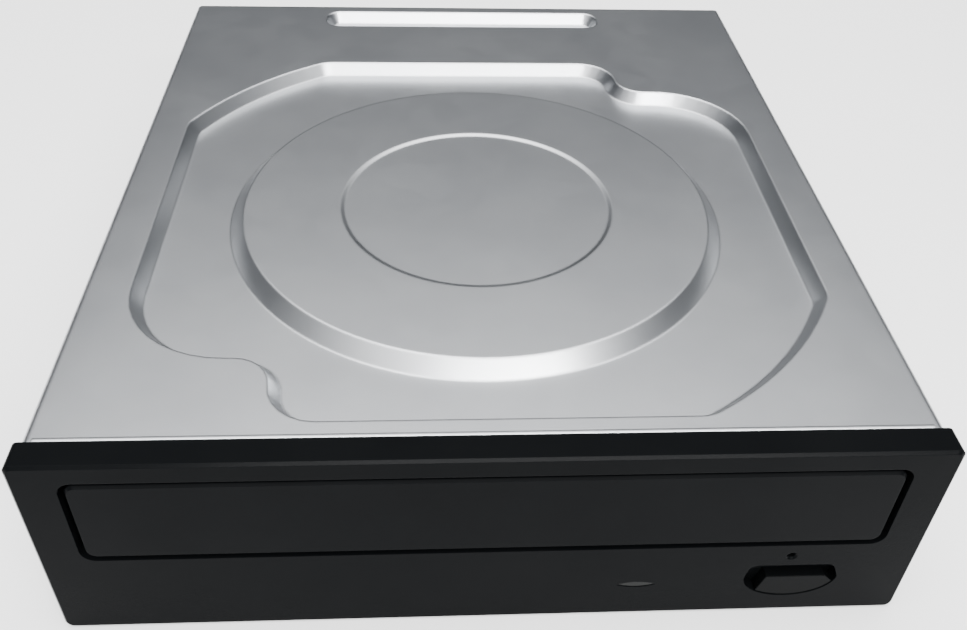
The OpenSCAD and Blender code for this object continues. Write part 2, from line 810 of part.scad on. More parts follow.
// Button with its retaining rim and the stem that reaches the switch
module eject_button() color(black_abs) {
    difference() {
        union() {
            upright(0.1, face_t + 0.2) button_face();
            upright(face_t + 0.2, 0.7) difference() {
                scoop(-0.9);
                translate([button_x - 15, button_z - 0.4]) square([30, 10]);
            }
        }
        translate([button_x - 12, back(-0.4), button_z + 0.6]) rotate([-35, 0, 0])
            translate([0, -1, 0]) cube([24, 1, 3]);
    }
    upright(face_t - e, 1.1 + e) translate([button_x, button_z - 2.6]) square([3, 2.4], center = true);
}

module button_face() {
    intersection() {
        scoop(button_gap);
        translate([button_x, button_z])
            polygon([[-4.3, 0], [6.2, 0], [8.6, -2.4], [8.6, -6], [-6.2, -6]]);
    }
}

// Moulded frame that everything inside is fixed to
module main_frame() color(black_abs) {
    difference() {
        union() {
            frame_floor();
            both_sides() frame_side();
            frame_front_wall();
            frame_rear_wall();
            slider_channel();
            gear_posts();
            frame_bosses();
            both_sides() pivot_lug();
        }
        block(-opening_half_w, opening_half_w, opening_front, opening_rear, -1, 17);
        block(-cam_reach - cam_travel, cam_reach + cam_travel, cam_d - 0.3, opening_front + e,
              cam_low + 2, floor_top + e);
        pin(motor_x, motor_back, 0, floor_top + 1, motor_r + 0.4);
        block(lamp_x - 7.7, button_x + 11, frame_front - 1, 11.4, 0, floor_top + 1);
        for (p = cover_screw_places) pin(p[0], p[1], 0, 8, screw_shank_d / 2);
        for (p = board_screw_places) pin(p[0], p[1], 0, 8, screw_shank_d / 2);
        both_sides() translate([0, back(pivot_back), pivot_z]) rotate([0, 90, 0])
            cylinder(r = 2.1, h = opening_half_w + 6);
        bridge_screw_at() translate([0, 0, frame_top - 8]) cylinder(d = screw_shank_d - 0.2, h = 9);
        block(socket_x - socket_w / 2 - 1, socket_x + socket_w / 2 + 1, frame_rear - 20, frame_rear + 1, 0, 11.6);
    }
}

module frame_floor() {
    block(-wall_out, wall_out, frame_front, frame_rear, floor_top - frame_floor_t, floor_top);
}

// One long wall with the tray's lower runner, upper keepers and the ribs that meet the case
module frame_side() {
    block(wall_in, wall_out, frame_front, frame_rear, floor_top - frame_floor_t, rim_z + 2.4);
    block(wall_in - 3.6, wall_in + e, frame_front, frame_rear - 1, runner_z - 1.8, runner_z - 0.2);
    for (d = [frame_front + 1, hub_back - 14, hub_back + 40, frame_rear - 12]) {
        block(wall_in - 2.6, wall_in + e, d, d + 9, rim_z + 0.4, rim_z + 2);
    }
    for (d = [14, 32, 76, 112, frame_rear - 3]) {
        block(wall_out - e, case_in - 0.05, d, d + 2, frame_base + 0.8, rim_z + 2.4);
    }
    block(wall_out - e, case_in - 0.05, hub_back - bridge_w / 2, hub_back + bridge_w / 2,
          frame_top - 3, frame_top);
    block(wall_in, wall_out, hub_back - bridge_w / 2, hub_back + bridge_w / 2, rim_z + 2, frame_top);
}

module frame_front_wall() {
    difference() {
        block(-wall_in, wall_in, 11.4, 12.8, frame_base, floor_top);
        block(ribbon_x - ribbon_w / 2 - 0.5, ribbon_x + ribbon_w / 2 + 0.5, 11, 14, 0, frame_base + 1);
    }
    block(-wall_in, 16, frame_front, frame_front + 1.4, frame_base, floor_top + 4);
}

module frame_rear_wall() {
    difference() {
        block(-wall_in, wall_in, frame_rear - 1.4, frame_rear, frame_base, runner_z - 0.2);
        for (x = [8, 30]) block(x, x + 14, frame_rear - 2, frame_rear + 1, 0, 6);
    }
    block(-wall_in, wall_in, opening_rear, opening_rear + 1.6, floor_top - e, runner_z - 2);
}

// Channel that guides the cam slider along the front of the deck's opening
module slider_channel() {
    block(-wall_in, wall_in, cam_d - 1.8, cam_d - 0.3, cam_low - 1.7, floor_top + 5);
    block(-wall_in, wall_in, cam_d - 1.8, cam_d + cam_t + 1.3, cam_low - 1.7, cam_low - 0.2);
    block(-wall_in, wall_in, cam_d + cam_t + 0.3, cam_d + cam_t + 1.3, cam_low - 0.2 - e, cam_low + 1.6);
}

module gear_posts() {
    pin(drive_x, drive_back, floor_top - e, runner_z + rack_h + 0.1, post_d / 2);
    pin(drive_x, drive_back, floor_top - e, high_gear_z - 0.1, 2.1);
    pin(mid_x, mid_back, floor_top - e, gear_top_z + 0.6, post_d / 2);
    pin(pulley_x, pulley_back, floor_top - e, gear_top_z + 1.6, post_d / 2);
    for (p = [[drive_x, drive_back], [mid_x, mid_back], [pulley_x, pulley_back]]) {
        pin(p[0], p[1], floor_top - e, low_gear_z - 0.1, post_d / 2 + 1);
    }
}

module frame_bosses() {
    for (p = cover_screw_places) pin(p[0], p[1], frame_base + 1.3, floor_top - 0.5, 3.2);
    for (p = board_screw_places) pin(p[0], p[1], board_z + board_t, floor_top - 0.5, 3);
    for (x = [30, 44]) translate([x, back(9.2), 7.4]) rotate([-90, 0, 0]) cylinder(r = 1.8, h = 2.3);
}

// Bearing for one of the lift's pivots, beside the deck's opening
module pivot_lug() {
    difference() {
        block(opening_half_w - 1.3, opening_half_w + 2.3, pivot_back - 4, pivot_back + 4,
              floor_top - 1, pivot_z + 3.2);
        block(0, opening_half_w - 1.2, pivot_back - 5, pivot_back + 5, 0, 17);
    }
}

module bridge_screw_at() {
    for (p = bridge_screw_places) {
        translate([p[0] * (wall_out + 2.4), hub_y + p[1] * (bridge_w / 2 - 5), 0]) children();
    }
}

module loading_motor() color(steel) {
    pin(motor_x, motor_back, frame_base + 0.5, floor_top + 1.4, motor_r);
    pin(motor_x, motor_back, floor_top + 1.3, floor_top + 2.1, 3);
    pin(motor_x, motor_back, floor_top + 2, belt_z + 1.4, 0.75);
}

module motor_pulley() color(ivory) {
    difference() {
        union() {
            pin(motor_x, motor_back, belt_z - 1.5, belt_z + 1.5, motor_pulley_r - 0.6);
            pin(motor_x, motor_back, belt_z - 1.5, belt_z - 0.9, motor_pulley_r + 0.6);
            pin(motor_x, motor_back, belt_z + 0.9, belt_z + 1.5, motor_pulley_r + 0.6);
        }
        pin(motor_x, motor_back, 0, belt_z + 3, 0.8);
    }
}

// Square rubber belt round both pulleys
module drive_belt() color(rubber) {
    a = [motor_x, motor_back];
    b = [pulley_x, pulley_back];
    translate([0, front_y, belt_z - belt_t / 2]) linear_extrude(belt_t) difference() {
        belt_loop(a, b, belt_t + 0.1);
        belt_loop(a, b, 0.1);
    }
}

module belt_loop(a, b, out) {
    hull() {
        translate(a) circle(motor_pulley_r - 0.6 + out, $fn = 48);
        translate(b) circle(pulley_r - 0.6 + out, $fn = 96);
    }
}

module spur(m, z, z0, t, phase) {
    translate([0, 0, z0]) rotate(phase) linear_extrude(t) polygon(gear_points(m, z, backlash / 2));
}

// Directions along which the gears mesh, from each gear to the next
to_mid = atan2(mid_back - pulley_back, mid_x - pulley_x);
to_drive = atan2(drive_back - mid_back, drive_x - mid_x);

module gear_at(x, d) {
    difference() {
        translate([x, back(d), 0]) children();
        pin(x, d, 0, 40, post_d / 2 + post_gap);
    }
}

module pulley_gear() color(ivory) {
    gear_at(pulley_x, pulley_back) {
        spur(gear_m, small_z, low_gear_z, wheel_t, to_mid);
        translate([0, 0, low_gear_z + wheel_t - e]) cylinder(r = 4, h = 0.8);
        translate([0, 0, belt_z - 1.5]) cylinder(r = pulley_r - 0.6, h = 3);
        for (z = [-1.5, 0.9]) translate([0, 0, belt_z + z]) cylinder(r = pulley_r + 0.5, h = 0.6);
    }
}

module middle_gear() color(ivory) {
    gear_at(mid_x, mid_back) {
        spur(gear_m, mid_z, low_gear_z, wheel_t, to_mid + 180 + 180 / mid_z);
        spur(gear_m, small_z, low_gear_z + wheel_t - e, wheel_t + 0.4, to_drive);
    }
}

module drive_gear() color(ivory) {
    gear_at(drive_x, drive_back) {
        translate([0, 0, high_gear_z]) cylinder(r = 3.4, h = runner_z - high_gear_z + e);
        spur(gear_m, drive_z, high_gear_z, wheel_t, to_drive + 180 + 180 / drive_z);
        spur(rack_m, pinion_z, runner_z, rack_h - 0.1, 0);
    }
}

// Sliding plate whose two sloping slots lift the deck's pins
module cam_slider() color(ivory) {
    low = pivot_z - cam_rise;
    difference() {
        block(-cam_reach, cam_reach + 12, cam_d, cam_d + cam_t, cam_low, cam_high);
        for (x = [-cam_pin_x, cam_pin_x]) {
            upright(cam_d - 1, cam_t + 2) {
                long_hole([x, low], [x + cam_travel, pivot_z], cam_pin_d / 2 + cam_gap);
                long_hole([x - 1.4, low], [x, low], cam_pin_d / 2 + cam_gap);
                long_hole([x + cam_travel, pivot_z], [x + cam_travel + 1.4, pivot_z], cam_pin_d / 2 + cam_gap);
            }
        }
    }
}

// Plastic frame that carries the deck on its dampers and turns on the rear pivots
module lift_frame() color(black_abs) dropped() {
    difference() {
        union() {
            difference() {
                block(-lift_half_w, lift_half_w, lift_front, lift_rear, lift_z, lift_z + lift_h);
                block(-lift_half_w + lift_bar, lift_half_w - lift_bar, lift_front + lift_bar, lift_rear - lift_bar, 0, 30);
            }
            for (p = damper_places) {
                block(p[0] * damper_x - ear / 2 - 0.5, p[0] * damper_x + ear / 2 + 0.5,
                      p[1] - ear / 2 - 0.7, p[1] + ear / 2 + 0.7, lift_z, lift_z + 1);
            }
        }
        for (p = damper_places) pin(p[0] * damper_x, p[1], 0, 30, 1);
    }
    both_sides() translate([lift_half_w - e, back(pivot_back), pivot_z]) rotate([0, 90, 0])
        cylinder(r = 2, h = 4.2);
    for (x = [-cam_pin_x, cam_pin_x]) {
        translate([x, back(lift_front) + e, pivot_z]) rotate([90, 0, 0])
            cylinder(d = cam_pin_d, h = 1.2 + cam_t);
    }
}

module deck_plate() color(zinc) dropped() {
    difference() {
        union() {
            block(-deck_half_w, deck_half_w, lift_front + lift_bar + 0.6, deck_rear, deck_z, deck_z + deck_t);
            block(-deck_half_w, deck_half_w, deck_rear - deck_t, deck_rear, deck_z, deck_z + deck_t + 2.6);
        }
        block(-window_half_w, 30, window_front, window_rear - 9, 0, 40);
        block(-29.4, 29.4, window_front, window_rear, 0, 40);
        block(-screw_x - 4.8, -screw_x + 4.8, window_front - 17, window_front + e, 0, 40);
        for (x = [-rod_x, rod_x]) {
            block(x - rod_d / 2 - 0.2, x + rod_d / 2 + 0.2, rod_front - 0.2, window_front + e, 0, 40);
            translate([x, back(window_rear - 1), rod_z]) rotate([-90, 0, 0]) cylinder(r = rod_d / 2 + 0.05, h = 3);
        }
        for (p = damper_places) pin(p[0] * damper_x, p[1], 0, 30, damper_r - 1);
        pin(0, hub_back, 0, 30, 4.4);
    }
}

module deck_dampers() color(rubber) dropped() {
    for (p = damper_places) {
        difference() {
            pin(p[0] * damper_x, p[1], lift_z + 1, deck_z + deck_t + 1.2, damper_r);
            difference() {
                pin(p[0] * damper_x, p[1], deck_z - 0.02, deck_z + deck_t + 0.02, damper_r + 1);
                pin(p[0] * damper_x, p[1], deck_z - 1, deck_z + deck_t + 1, damper_r - 1.1);
            }
            pin(p[0] * damper_x, p[1], 0, 30, 1.2);
        }
    }
}

// Cross recess in a screw's head
module cross_recess(x, d, z0, z1) {
    block(x - 1.8, x + 1.8, d - 0.45, d + 0.45, z0, z1);
    block(x - 0.45, x + 0.45, d - 1.8, d + 1.8, z0, z1);
}

module deck_screws() color(steel) dropped() {
    for (p = damper_places) {
        pin(p[0] * damper_x, p[1], lift_z + 0.2, deck_z + deck_t + 1.3, 0.95);
        difference() {
            pin(p[0] * damper_x, p[1], deck_z + deck_t + 1.2, deck_z + deck_t + 2.2, 3);
            cross_recess(p[0] * damper_x, p[1], deck_z + deck_t + 1.6, deck_z + deck_t + 3);
        }
    }
}

module spindle_base() color(steel) dropped() {
    difference() {
        union() {
            block(-15, 15, hub_back - 13, hub_back + 13, deck_z + deck_t, deck_z + deck_t + 0.8);
            pin(0, hub_back, deck_z - 1.8, deck_z + deck_t + 1.2, 4.2);
        }
        pin(0, hub_back, deck_z - 0.8, 30, 1.6);
    }
}

rotor_z = deck_z + deck_t + 1.5;

module spindle_rotor() color(steel) dropped() {
    difference() {
        pin(0, hub_back, rotor_z, table_z - 2.2, rotor_r);
        pin(0, hub_back, rotor_z - 1, rotor_z + 2, rotor_r - 0.8);
    }
    pin(0, hub_back, deck_z - 0.6, table_z - 3, 1.5);
}

module turntable() color(black_abs) dropped() {
    pin(0, hub_back, table_z - 2.2, table_z - 0.4, table_r);
    pin(0, hub_back, table_z - 0.5, table_z + cone_h - 1.4, cone_r);
    translate([0, hub_y, table_z + cone_h - 1.4 - e]) cylinder(r1 = cone_r, r2 = cone_r - 1.2, h = 1.4 + e);
}

module turntable_pad() color(rubber) dropped() {
    difference() {
        pin(0, hub_back, table_z - 0.4, table_z, table_r - 0.2);
        pin(0, hub_back, table_z - 1, table_z + 1, table_r - 3.6);
    }
}

rod_front = window_front - 3;
rod_rear = deck_rear - 0.1;

module guide_rods() color(steel) dropped() {
    for (x = [-rod_x, rod_x]) {
        translate([x, back(rod_front), rod_z]) rotate([-90, 0, 0]) cylinder(d = rod_d, h = rod_rear - rod_front);
    }
}

// Seats that hold the rods' ends on the deck plate
module rod_clamps() color(black_abs) dropped() {
    for (x = [-rod_x, rod_x]) {
        difference() {
            block(x - 3, x + 3, window_front - 4.4, window_front - 0.6, deck_z + deck_t, rod_z + 2.6);
            translate([x, back(rod_front - 0.2), rod_z]) rotate([-90, 0, 0]) cylinder(r = rod_d / 2 + 0.05, h = 20);
        }
    }
    difference() {
        union() {
            block(-screw_x - 2, -screw_x + 1.4, screw_rear - 1.9, window_rear - 9.1, screw_z - 1.8, deck_z + deck_t + 1.4);
            block(-screw_x - 2, -screw_x + 1.4, screw_rear - 1.9, window_rear - 7.8, deck_z + deck_t, deck_z + deck_t + 1.4);
        }
        translate([-screw_x, back(screw_rear - 3), screw_z]) rotate([-90, 0, 0]) cylinder(r = screw_end_r + 0.08, h = 3.1);
    }
}

module sled_motor() color(steel) dropped() {
    d1 = window_front - 3;
    translate([-screw_x, back(d1 - 13), screw_z]) rotate([-90, 0, 0]) cylinder(r = 4.5, h = 13);
    translate([-screw_x, back(d1 - e), screw_z]) rotate([-90, 0, 0]) cylinder(r = 2, h = 1);
}

module lead_screw() color(steel) dropped() {
    d0 = window_front - 1.8;
    translate([-screw_x, back(d0), screw_z]) rotate([-90, 0, 0]) cylinder(r = screw_end_r, h = screw_rear - d0);
    difference() {
        translate([-screw_x, back(d0), screw_z]) rotate([-90, 0, 0]) cylinder(d = screw_d, h = screw_rear - 2.1 - d0);
        for (k = [1 : 14]) {
            translate([-screw_x, back(d0 + 3 * k), screw_z]) rotate([-90, 0, 0]) difference() {
                cylinder(d = screw_d + 1, h = 0.5);
                translate([0, 0, -1]) cylinder(d = screw_d - 0.8, h = 3);
            }
        }
    }
}

// Die-cast carriage that rides on both rods
module pickup_sled() color([0.55, 0.56, 0.58]) dropped() {
    d0 = hub_back + lens_first - sled_front;
    d1 = hub_back + lens_first + sled_back;
    difference() {
        union() {
            block(-29, 29, d0, d1, rod_z - 3, rod_z + 2.6);
            block(-20, 20, d0 - 0.6, d1, rod_z - 3.6, rod_z + 2.6);
            block(-screw_x + screw_d / 2 + 0.3, -28, d0 + 0.4, d0 + 5.2, screw_z - 1.4, screw_z + 1.4);
        }
        translate([-rod_x, back(d0 - 1), rod_z]) rotate([-90, 0, 0]) cylinder(r = rod_d / 2 + 0.08, h = 40);
        translate([rod_x, back(d0 - 1), rod_z]) rotate([-90, 0, 0]) cylinder(r = rod_d / 2 + 0.08, h = 40);
        block(rod_x, 30, d0 - 1, d1 + 1, rod_z - rod_d / 2 - 0.08, rod_z + rod_d / 2 + 0.08);
        block(-11, 11, d0 + 1, d0 + 13, rod_z + 1.4, rod_z + 6);
        block(-24, -14, d0 + 2, d1 - 2, rod_z - 4, rod_z - 1.6);
        block(14, 24, d0 + 2, d1 - 2, rod_z - 4, rod_z - 1.6);
    }
}

// Cover and magnets round the moving lens
module lens_actuator() color(steel) dropped() {
    dl = hub_back + lens_first;
    difference() {
        block(-13, 13, dl - 6.6, dl + 8, rod_z + 2.6, rod_z + 5.4);
        block(-6, 6, dl - 5, dl + 5, 0, 40);
        block(-12.2, 12.2, dl - 5.8, dl + 7.2, 0, rod_z + 4.8);
    }
}

module objective_lens() color(glass_blue) dropped() {
    dl = hub_back + lens_first;
    block(-5.2, 5.2, dl - 4.2, dl + 4.2, rod_z + 3, rod_z + 5.2);
    translate([0, back(dl), rod_z + 4.6]) cylinder(r = 3, h = 1);
    translate([0, back(dl), rod_z + 5.6 - e]) cylinder(r1 = 2.3, r2 = 1.5, h = 0.4);
}

clamp_hole_r = clamper_r + clamper_play;

// Steel bridge over the disc that the clamper hangs in
module clamp_bridge() color(zinc) {
    half = bridge_w / 2;
    edge = case_in - 0.6;
    difference() {
        union() {
            block(-edge, edge, hub_back - half, hub_back + half, bridge_z, bridge_z + bridge_t);
            for (d = [hub_back - half, hub_back + half - 1]) {
                block(-58, 58, d, d + 1, bridge_z, bridge_z + 3.4);
            }
        }
        pin(0, hub_back, 0, 50, clamp_hole_r);
        bridge_screw_at() translate([0, 0, bridge_z - 1]) cylinder(d = screw_shank_d + 0.4, h = 4);
        for (x = [-1, 1]) translate([x * 36, hub_y, bridge_z - 1]) linear_extrude(4)
            rounded_box(20, 24, 3);
    }
}

clamp_face_z = table_z + 0.8;

module clamper() color(ivory) {
    difference() {
        union() {
            pin(0, hub_back, clamp_face_z, bridge_z + bridge_t + 0.3, clamper_r);
            pin(0, hub_back, bridge_z + bridge_t + 0.2, bridge_z + bridge_t + 1.6, clamper_flange_r);
        }
        pin(0, hub_back, clamp_face_z - 1, table_z + cone_h + 0.8, cone_r + 1);
        pin(0, hub_back, bridge_z + 0.4, bridge_z + 9, 10);
    }
}

module clamper_magnet() color(steel) {
    pin(0, hub_back, bridge_z + 0.4, bridge_z + 2.4, 9.8);
}

module clamper_cap() color(ivory) {
    pin(0, hub_back, bridge_z + 2.4, bridge_z + bridge_t + 2.6, 9.8);
    pin(0, hub_back, bridge_z + bridge_t + 1.6, bridge_z + bridge_t + 2.6, 13);
}

module bridge_screws() color(steel) {
    bridge_screw_at() {
        translate([0, 0, frame_top - 5]) cylinder(d = screw_shank_d - 0.3, h = 5 + bridge_t + e);
        difference() {
            translate([0, 0, frame_top + bridge_t]) cylinder(r = screw_head_r, h = 1.4);
            translate([0, -front_y, 0]) cross_recess(0, 0, frame_top + bridge_t + 0.6, frame_top + bridge_t + 2);
        }
    }
}

module main_board() color(green_board) {
    rear = board_front + board_l;
    difference() {
        block(-board_half_w, board_half_w, board_front, rear, board_z, board_z + board_t);
        for (p = board_screw_places) pin(p[0], p[1], 0, 9, screw_shank_d / 2 + 0.2);
        block(-board_half_w - 1, -26, board_front - 1, board_front + 24, 0, 9);
        block(board_half_w - 4, board_half_w + 1, rear - 12, rear + 1, 0, 9);
        block(-board_half_w - 1, -board_half_w + 4, rear - 12, rear + 1, 0, 9);
    }
}

// Packages on the board, as [x, distance back, width, depth, height]
chips = [
    [8, 108, 20, 20, 1.6], [-24, 112, 10, 9, 1.3], [34, 96, 9, 14, 1.2], [32, 122, 12, 8, 1.6],
    [-6, 84, 7, 7, 1], [14, 86, 5, 3.2, 1], [-40, 126, 8, 6, 1.8], [12, 134, 6, 5, 1.4]
];

module board_chips() color(chip_black) {
    for (c = chips) {
        block(c[0] - c[2] / 2, c[0] + c[2] / 2, c[1] - c[3] / 2, c[1] + c[3] / 2,
              board_z + board_t, board_z + board_t + c[4]);
    }
}

// Flat-cable sockets on the board
module board_sockets() color(ivory) {
    for (s = [[-12, 146, 24], [24, 146, 20], [ribbon_x, board_front + 3.5, ribbon_w + 2]]) {
        block(s[0] - s[2] / 2, s[0] + s[2] / 2, s[1] - 2, s[1] + 2, board_z + board_t, board_z + board_t + 1.9);
    }
}

// Rear socket: a shroud with a wide power tongue and a narrow data tongue
module data_power_socket() color(black_abs) {
    x0 = socket_x - socket_w / 2;
    x1 = socket_x + socket_w / 2;
    z0 = board_z + board_t;
    d1 = total_d - 0.4;
    d0 = d1 - 13;
    difference() {
        block(x0, x1, d0, d1, z0, z0 + 6.4);
        block(x0 + 1.2, x0 + 25.4, d1 - 8, d1 + 1, z0 + 1, z0 + 5.4);
        block(x0 + 26.6, x1 - 1.2, d1 - 8, d1 + 1, z0 + 1, z0 + 5.4);
    }
    for (t = [[x0 + 2.6, x0 + 23.6], [x0 + 28, x1 - 2.6]]) {
        block(t[0], t[1], d1 - 8 - e, d1 - 1.2, z0 + 2.6, z0 + 3.8);
        block(t[0], t[0] + 1.1, d1 - 8 - e, d1 - 1.2, z0 + 1.6, z0 + 3.8);
    }
}

module front_board() color(green_board) {
    block(lamp_x - 5.7, button_x + 9, 8, 9.2, 2.4, 12);
}

module eject_switch() color(steel) {
    z = button_z - 2.6;
    block(button_x - 3, button_x + 3, 5.6, 8, z - 3, z + 3);
    translate([button_x, back(face_t + 1.1 + button_travel + 0.1), z]) rotate([-90, 0, 0])
        cylinder(r = 1.7, h = 5.7 - face_t - 1.1 - button_travel - 0.1);
}

module led_lamp() color(lamp_green) {
    translate([lamp_x, back(bezel_t), lamp_z]) rotate([-90, 0, 0]) cylinder(r = 1.5, h = 1.6);
    block(lamp_x - 2, lamp_x + 2, bezel_t + 1.5, 8, lamp_z - 2, lamp_z + 2);
}

// Flat cable from the front board to the main board, over the base plate
module front_ribbon() color([0.82, 0.83, 0.85]) {
    t = 0.3;
    x0 = ribbon_x - ribbon_w / 2;
    x1 = ribbon_x + ribbon_w / 2;
    low = frame_base + 0.2;
    block(x0, x1, 9.2, board_front - 0.4, low, low + t);
    block(x0, x1, 9.2, 9.2 + t, low, low + 3.6);
    block(x0, x1, board_front - 0.4 - t, board_front - 0.4, low, board_z + board_t + 1);
    block(x0, x1, board_front - 0.4 - t, board_front + 1.5, board_z + board_t + 1 - t, board_z + board_t + 1);
}

module cover_screws() color(steel) {
    for (p = cover_screw_places) {
        difference() {
            pin(p[0], p[1], case_z + 0.1, case_z + 1.3, screw_head_r);
            cross_recess(p[0], p[1], case_z - 1, case_z + 0.8);
        }
        pin(p[0], p[1], case_z + 1.2, case_z + 6, screw_shank_d / 2 - 0.05);
    }
}

module board_screws() color(steel) {
    for (p = board_screw_places) {
        difference() {
            pin(p[0], p[1], board_z - 1, board_z, screw_head_r);
            cross_recess(p[0], p[1], board_z - 2, board_z - 0.4);
        }
        pin(p[0], p[1], board_z - 0.1, board_z + board_t + 2.5, screw_shank_d / 2 - 0.05);
    }
}

top_cover();
bottom_cover();
front_bezel();
led_lens();
tray_door();
disc_tray();
eject_button();
main_frame();
loading_motor();
motor_pulley();
drive_belt();
pulley_gear();
middle_gear();
drive_gear();
cam_slider();
lift_frame();
deck_plate();
deck_dampers();
deck_screws();
spindle_base();
spindle_rotor();
turntable();
turntable_pad();
guide_rods();
rod_clamps();
sled_motor();
lead_screw();
pickup_sled();
lens_actuator();
objective_lens();
clamp_bridge();
clamper();
clamper_magnet();
clamper_cap();
bridge_screws();
main_board();
board_chips();
board_sockets();
data_power_socket();
front_board();
eject_switch();
led_lamp();
front_ribbon();
cover_screws();
board_screws();
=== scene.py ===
"""Looks of a half-height internal disc writer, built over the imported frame.

Everything is in metres in the part's own frame: the front faces -Y and +Z is up.
"""

import logging
from dataclasses import dataclass, field
from enum import Enum
from math import radians

import bmesh
import bpy
from mathutils import Matrix, Vector


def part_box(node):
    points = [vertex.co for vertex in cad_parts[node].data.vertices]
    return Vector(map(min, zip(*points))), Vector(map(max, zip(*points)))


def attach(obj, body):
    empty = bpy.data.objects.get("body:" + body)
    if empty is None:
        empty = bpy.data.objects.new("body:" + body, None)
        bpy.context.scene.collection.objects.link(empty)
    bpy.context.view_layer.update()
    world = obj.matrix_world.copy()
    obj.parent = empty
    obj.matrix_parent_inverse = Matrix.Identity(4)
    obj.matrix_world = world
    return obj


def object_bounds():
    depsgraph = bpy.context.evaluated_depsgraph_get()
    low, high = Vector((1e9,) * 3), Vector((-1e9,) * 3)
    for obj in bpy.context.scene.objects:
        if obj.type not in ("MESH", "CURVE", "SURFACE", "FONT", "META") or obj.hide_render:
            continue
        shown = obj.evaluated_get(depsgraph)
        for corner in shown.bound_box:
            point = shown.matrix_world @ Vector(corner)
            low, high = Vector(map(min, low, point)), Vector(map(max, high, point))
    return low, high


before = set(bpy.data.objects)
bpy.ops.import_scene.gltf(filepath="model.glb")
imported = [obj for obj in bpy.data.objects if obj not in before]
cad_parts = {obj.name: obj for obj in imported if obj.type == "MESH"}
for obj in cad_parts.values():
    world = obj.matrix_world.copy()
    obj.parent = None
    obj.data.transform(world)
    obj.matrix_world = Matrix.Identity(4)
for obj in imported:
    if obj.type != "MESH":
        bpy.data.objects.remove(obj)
CAD_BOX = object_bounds()

MM = 0.001
LOG = logging.getLogger("disc_writer")

Triple = tuple[float, float, float]


def linear(hex_colour: str) -> tuple[float, float, float, float]:
    """Turns an sRGB hex colour into the linear colour that the shaders read.

    Args:
        hex_colour: six hex digits, with or without a leading hash.

    Returns:
        Linear red, green, blue and an alpha of one.
    """
    digits = hex_colour.lstrip("#")
    values = [int(digits[i:i + 2], 16) / 255 for i in (0, 2, 4)]
    red, green, blue = [v / 12.92 if v <= 0.04045 else ((v + 0.055) / 1.055) ** 2.4 for v in values]
    return (red, green, blue, 1.0)


def add(tree: bpy.types.NodeTree, kind: str, links: dict | None = None, **settings) -> bpy.types.Node:
    """Adds one node with its settings and links.

    Args:
        tree: the node tree that it goes into.
        kind: Blender's name of the node type.
        links: socket name or index to a plain value or to the output that feeds it.
        settings: the node's own properties, or as stops a colour ramp's places and hex colours.

    Returns:
        The new node.
    """
    made = tree.nodes.new(kind)
    for i, (place, colour) in enumerate(settings.pop("stops", [])):
        bar = made.color_ramp.elements
        stop = bar[i] if i < 2 else bar.new(place)
        stop.position = place
        stop.color = linear(colour)
    for name, value in settings.items():
        setattr(made, name, value)
    for name, value in (links or {}).items():
        if isinstance(value, bpy.types.NodeSocket):
            tree.links.new(value, made.inputs[name])
        else:
            made.inputs[name].default_value = value
    return made


class Grain(Enum):
    """How a surface was made, with how its fine relief is stretched along X, Y and Z."""

    MOULDED = ("spark-eroded mould texture", (1.0, 1.0, 1.0))
    ROLLED = ("cold-rolled sheet under plating", (0.12, 1.0, 1.0))
    CAST = ("die-cast skin", (1.0, 1.0, 1.0))
    TURNED = ("lathe or drawn finish", (1.0, 1.0, 0.1))
    SMOOTH = ("smooth moulding", (1.0, 1.0, 1.0))

    @property
    def stretch(self) -> Triple:
        """Scale of the relief's coordinates, where less than one draws the cells out."""
        return self.value[1]


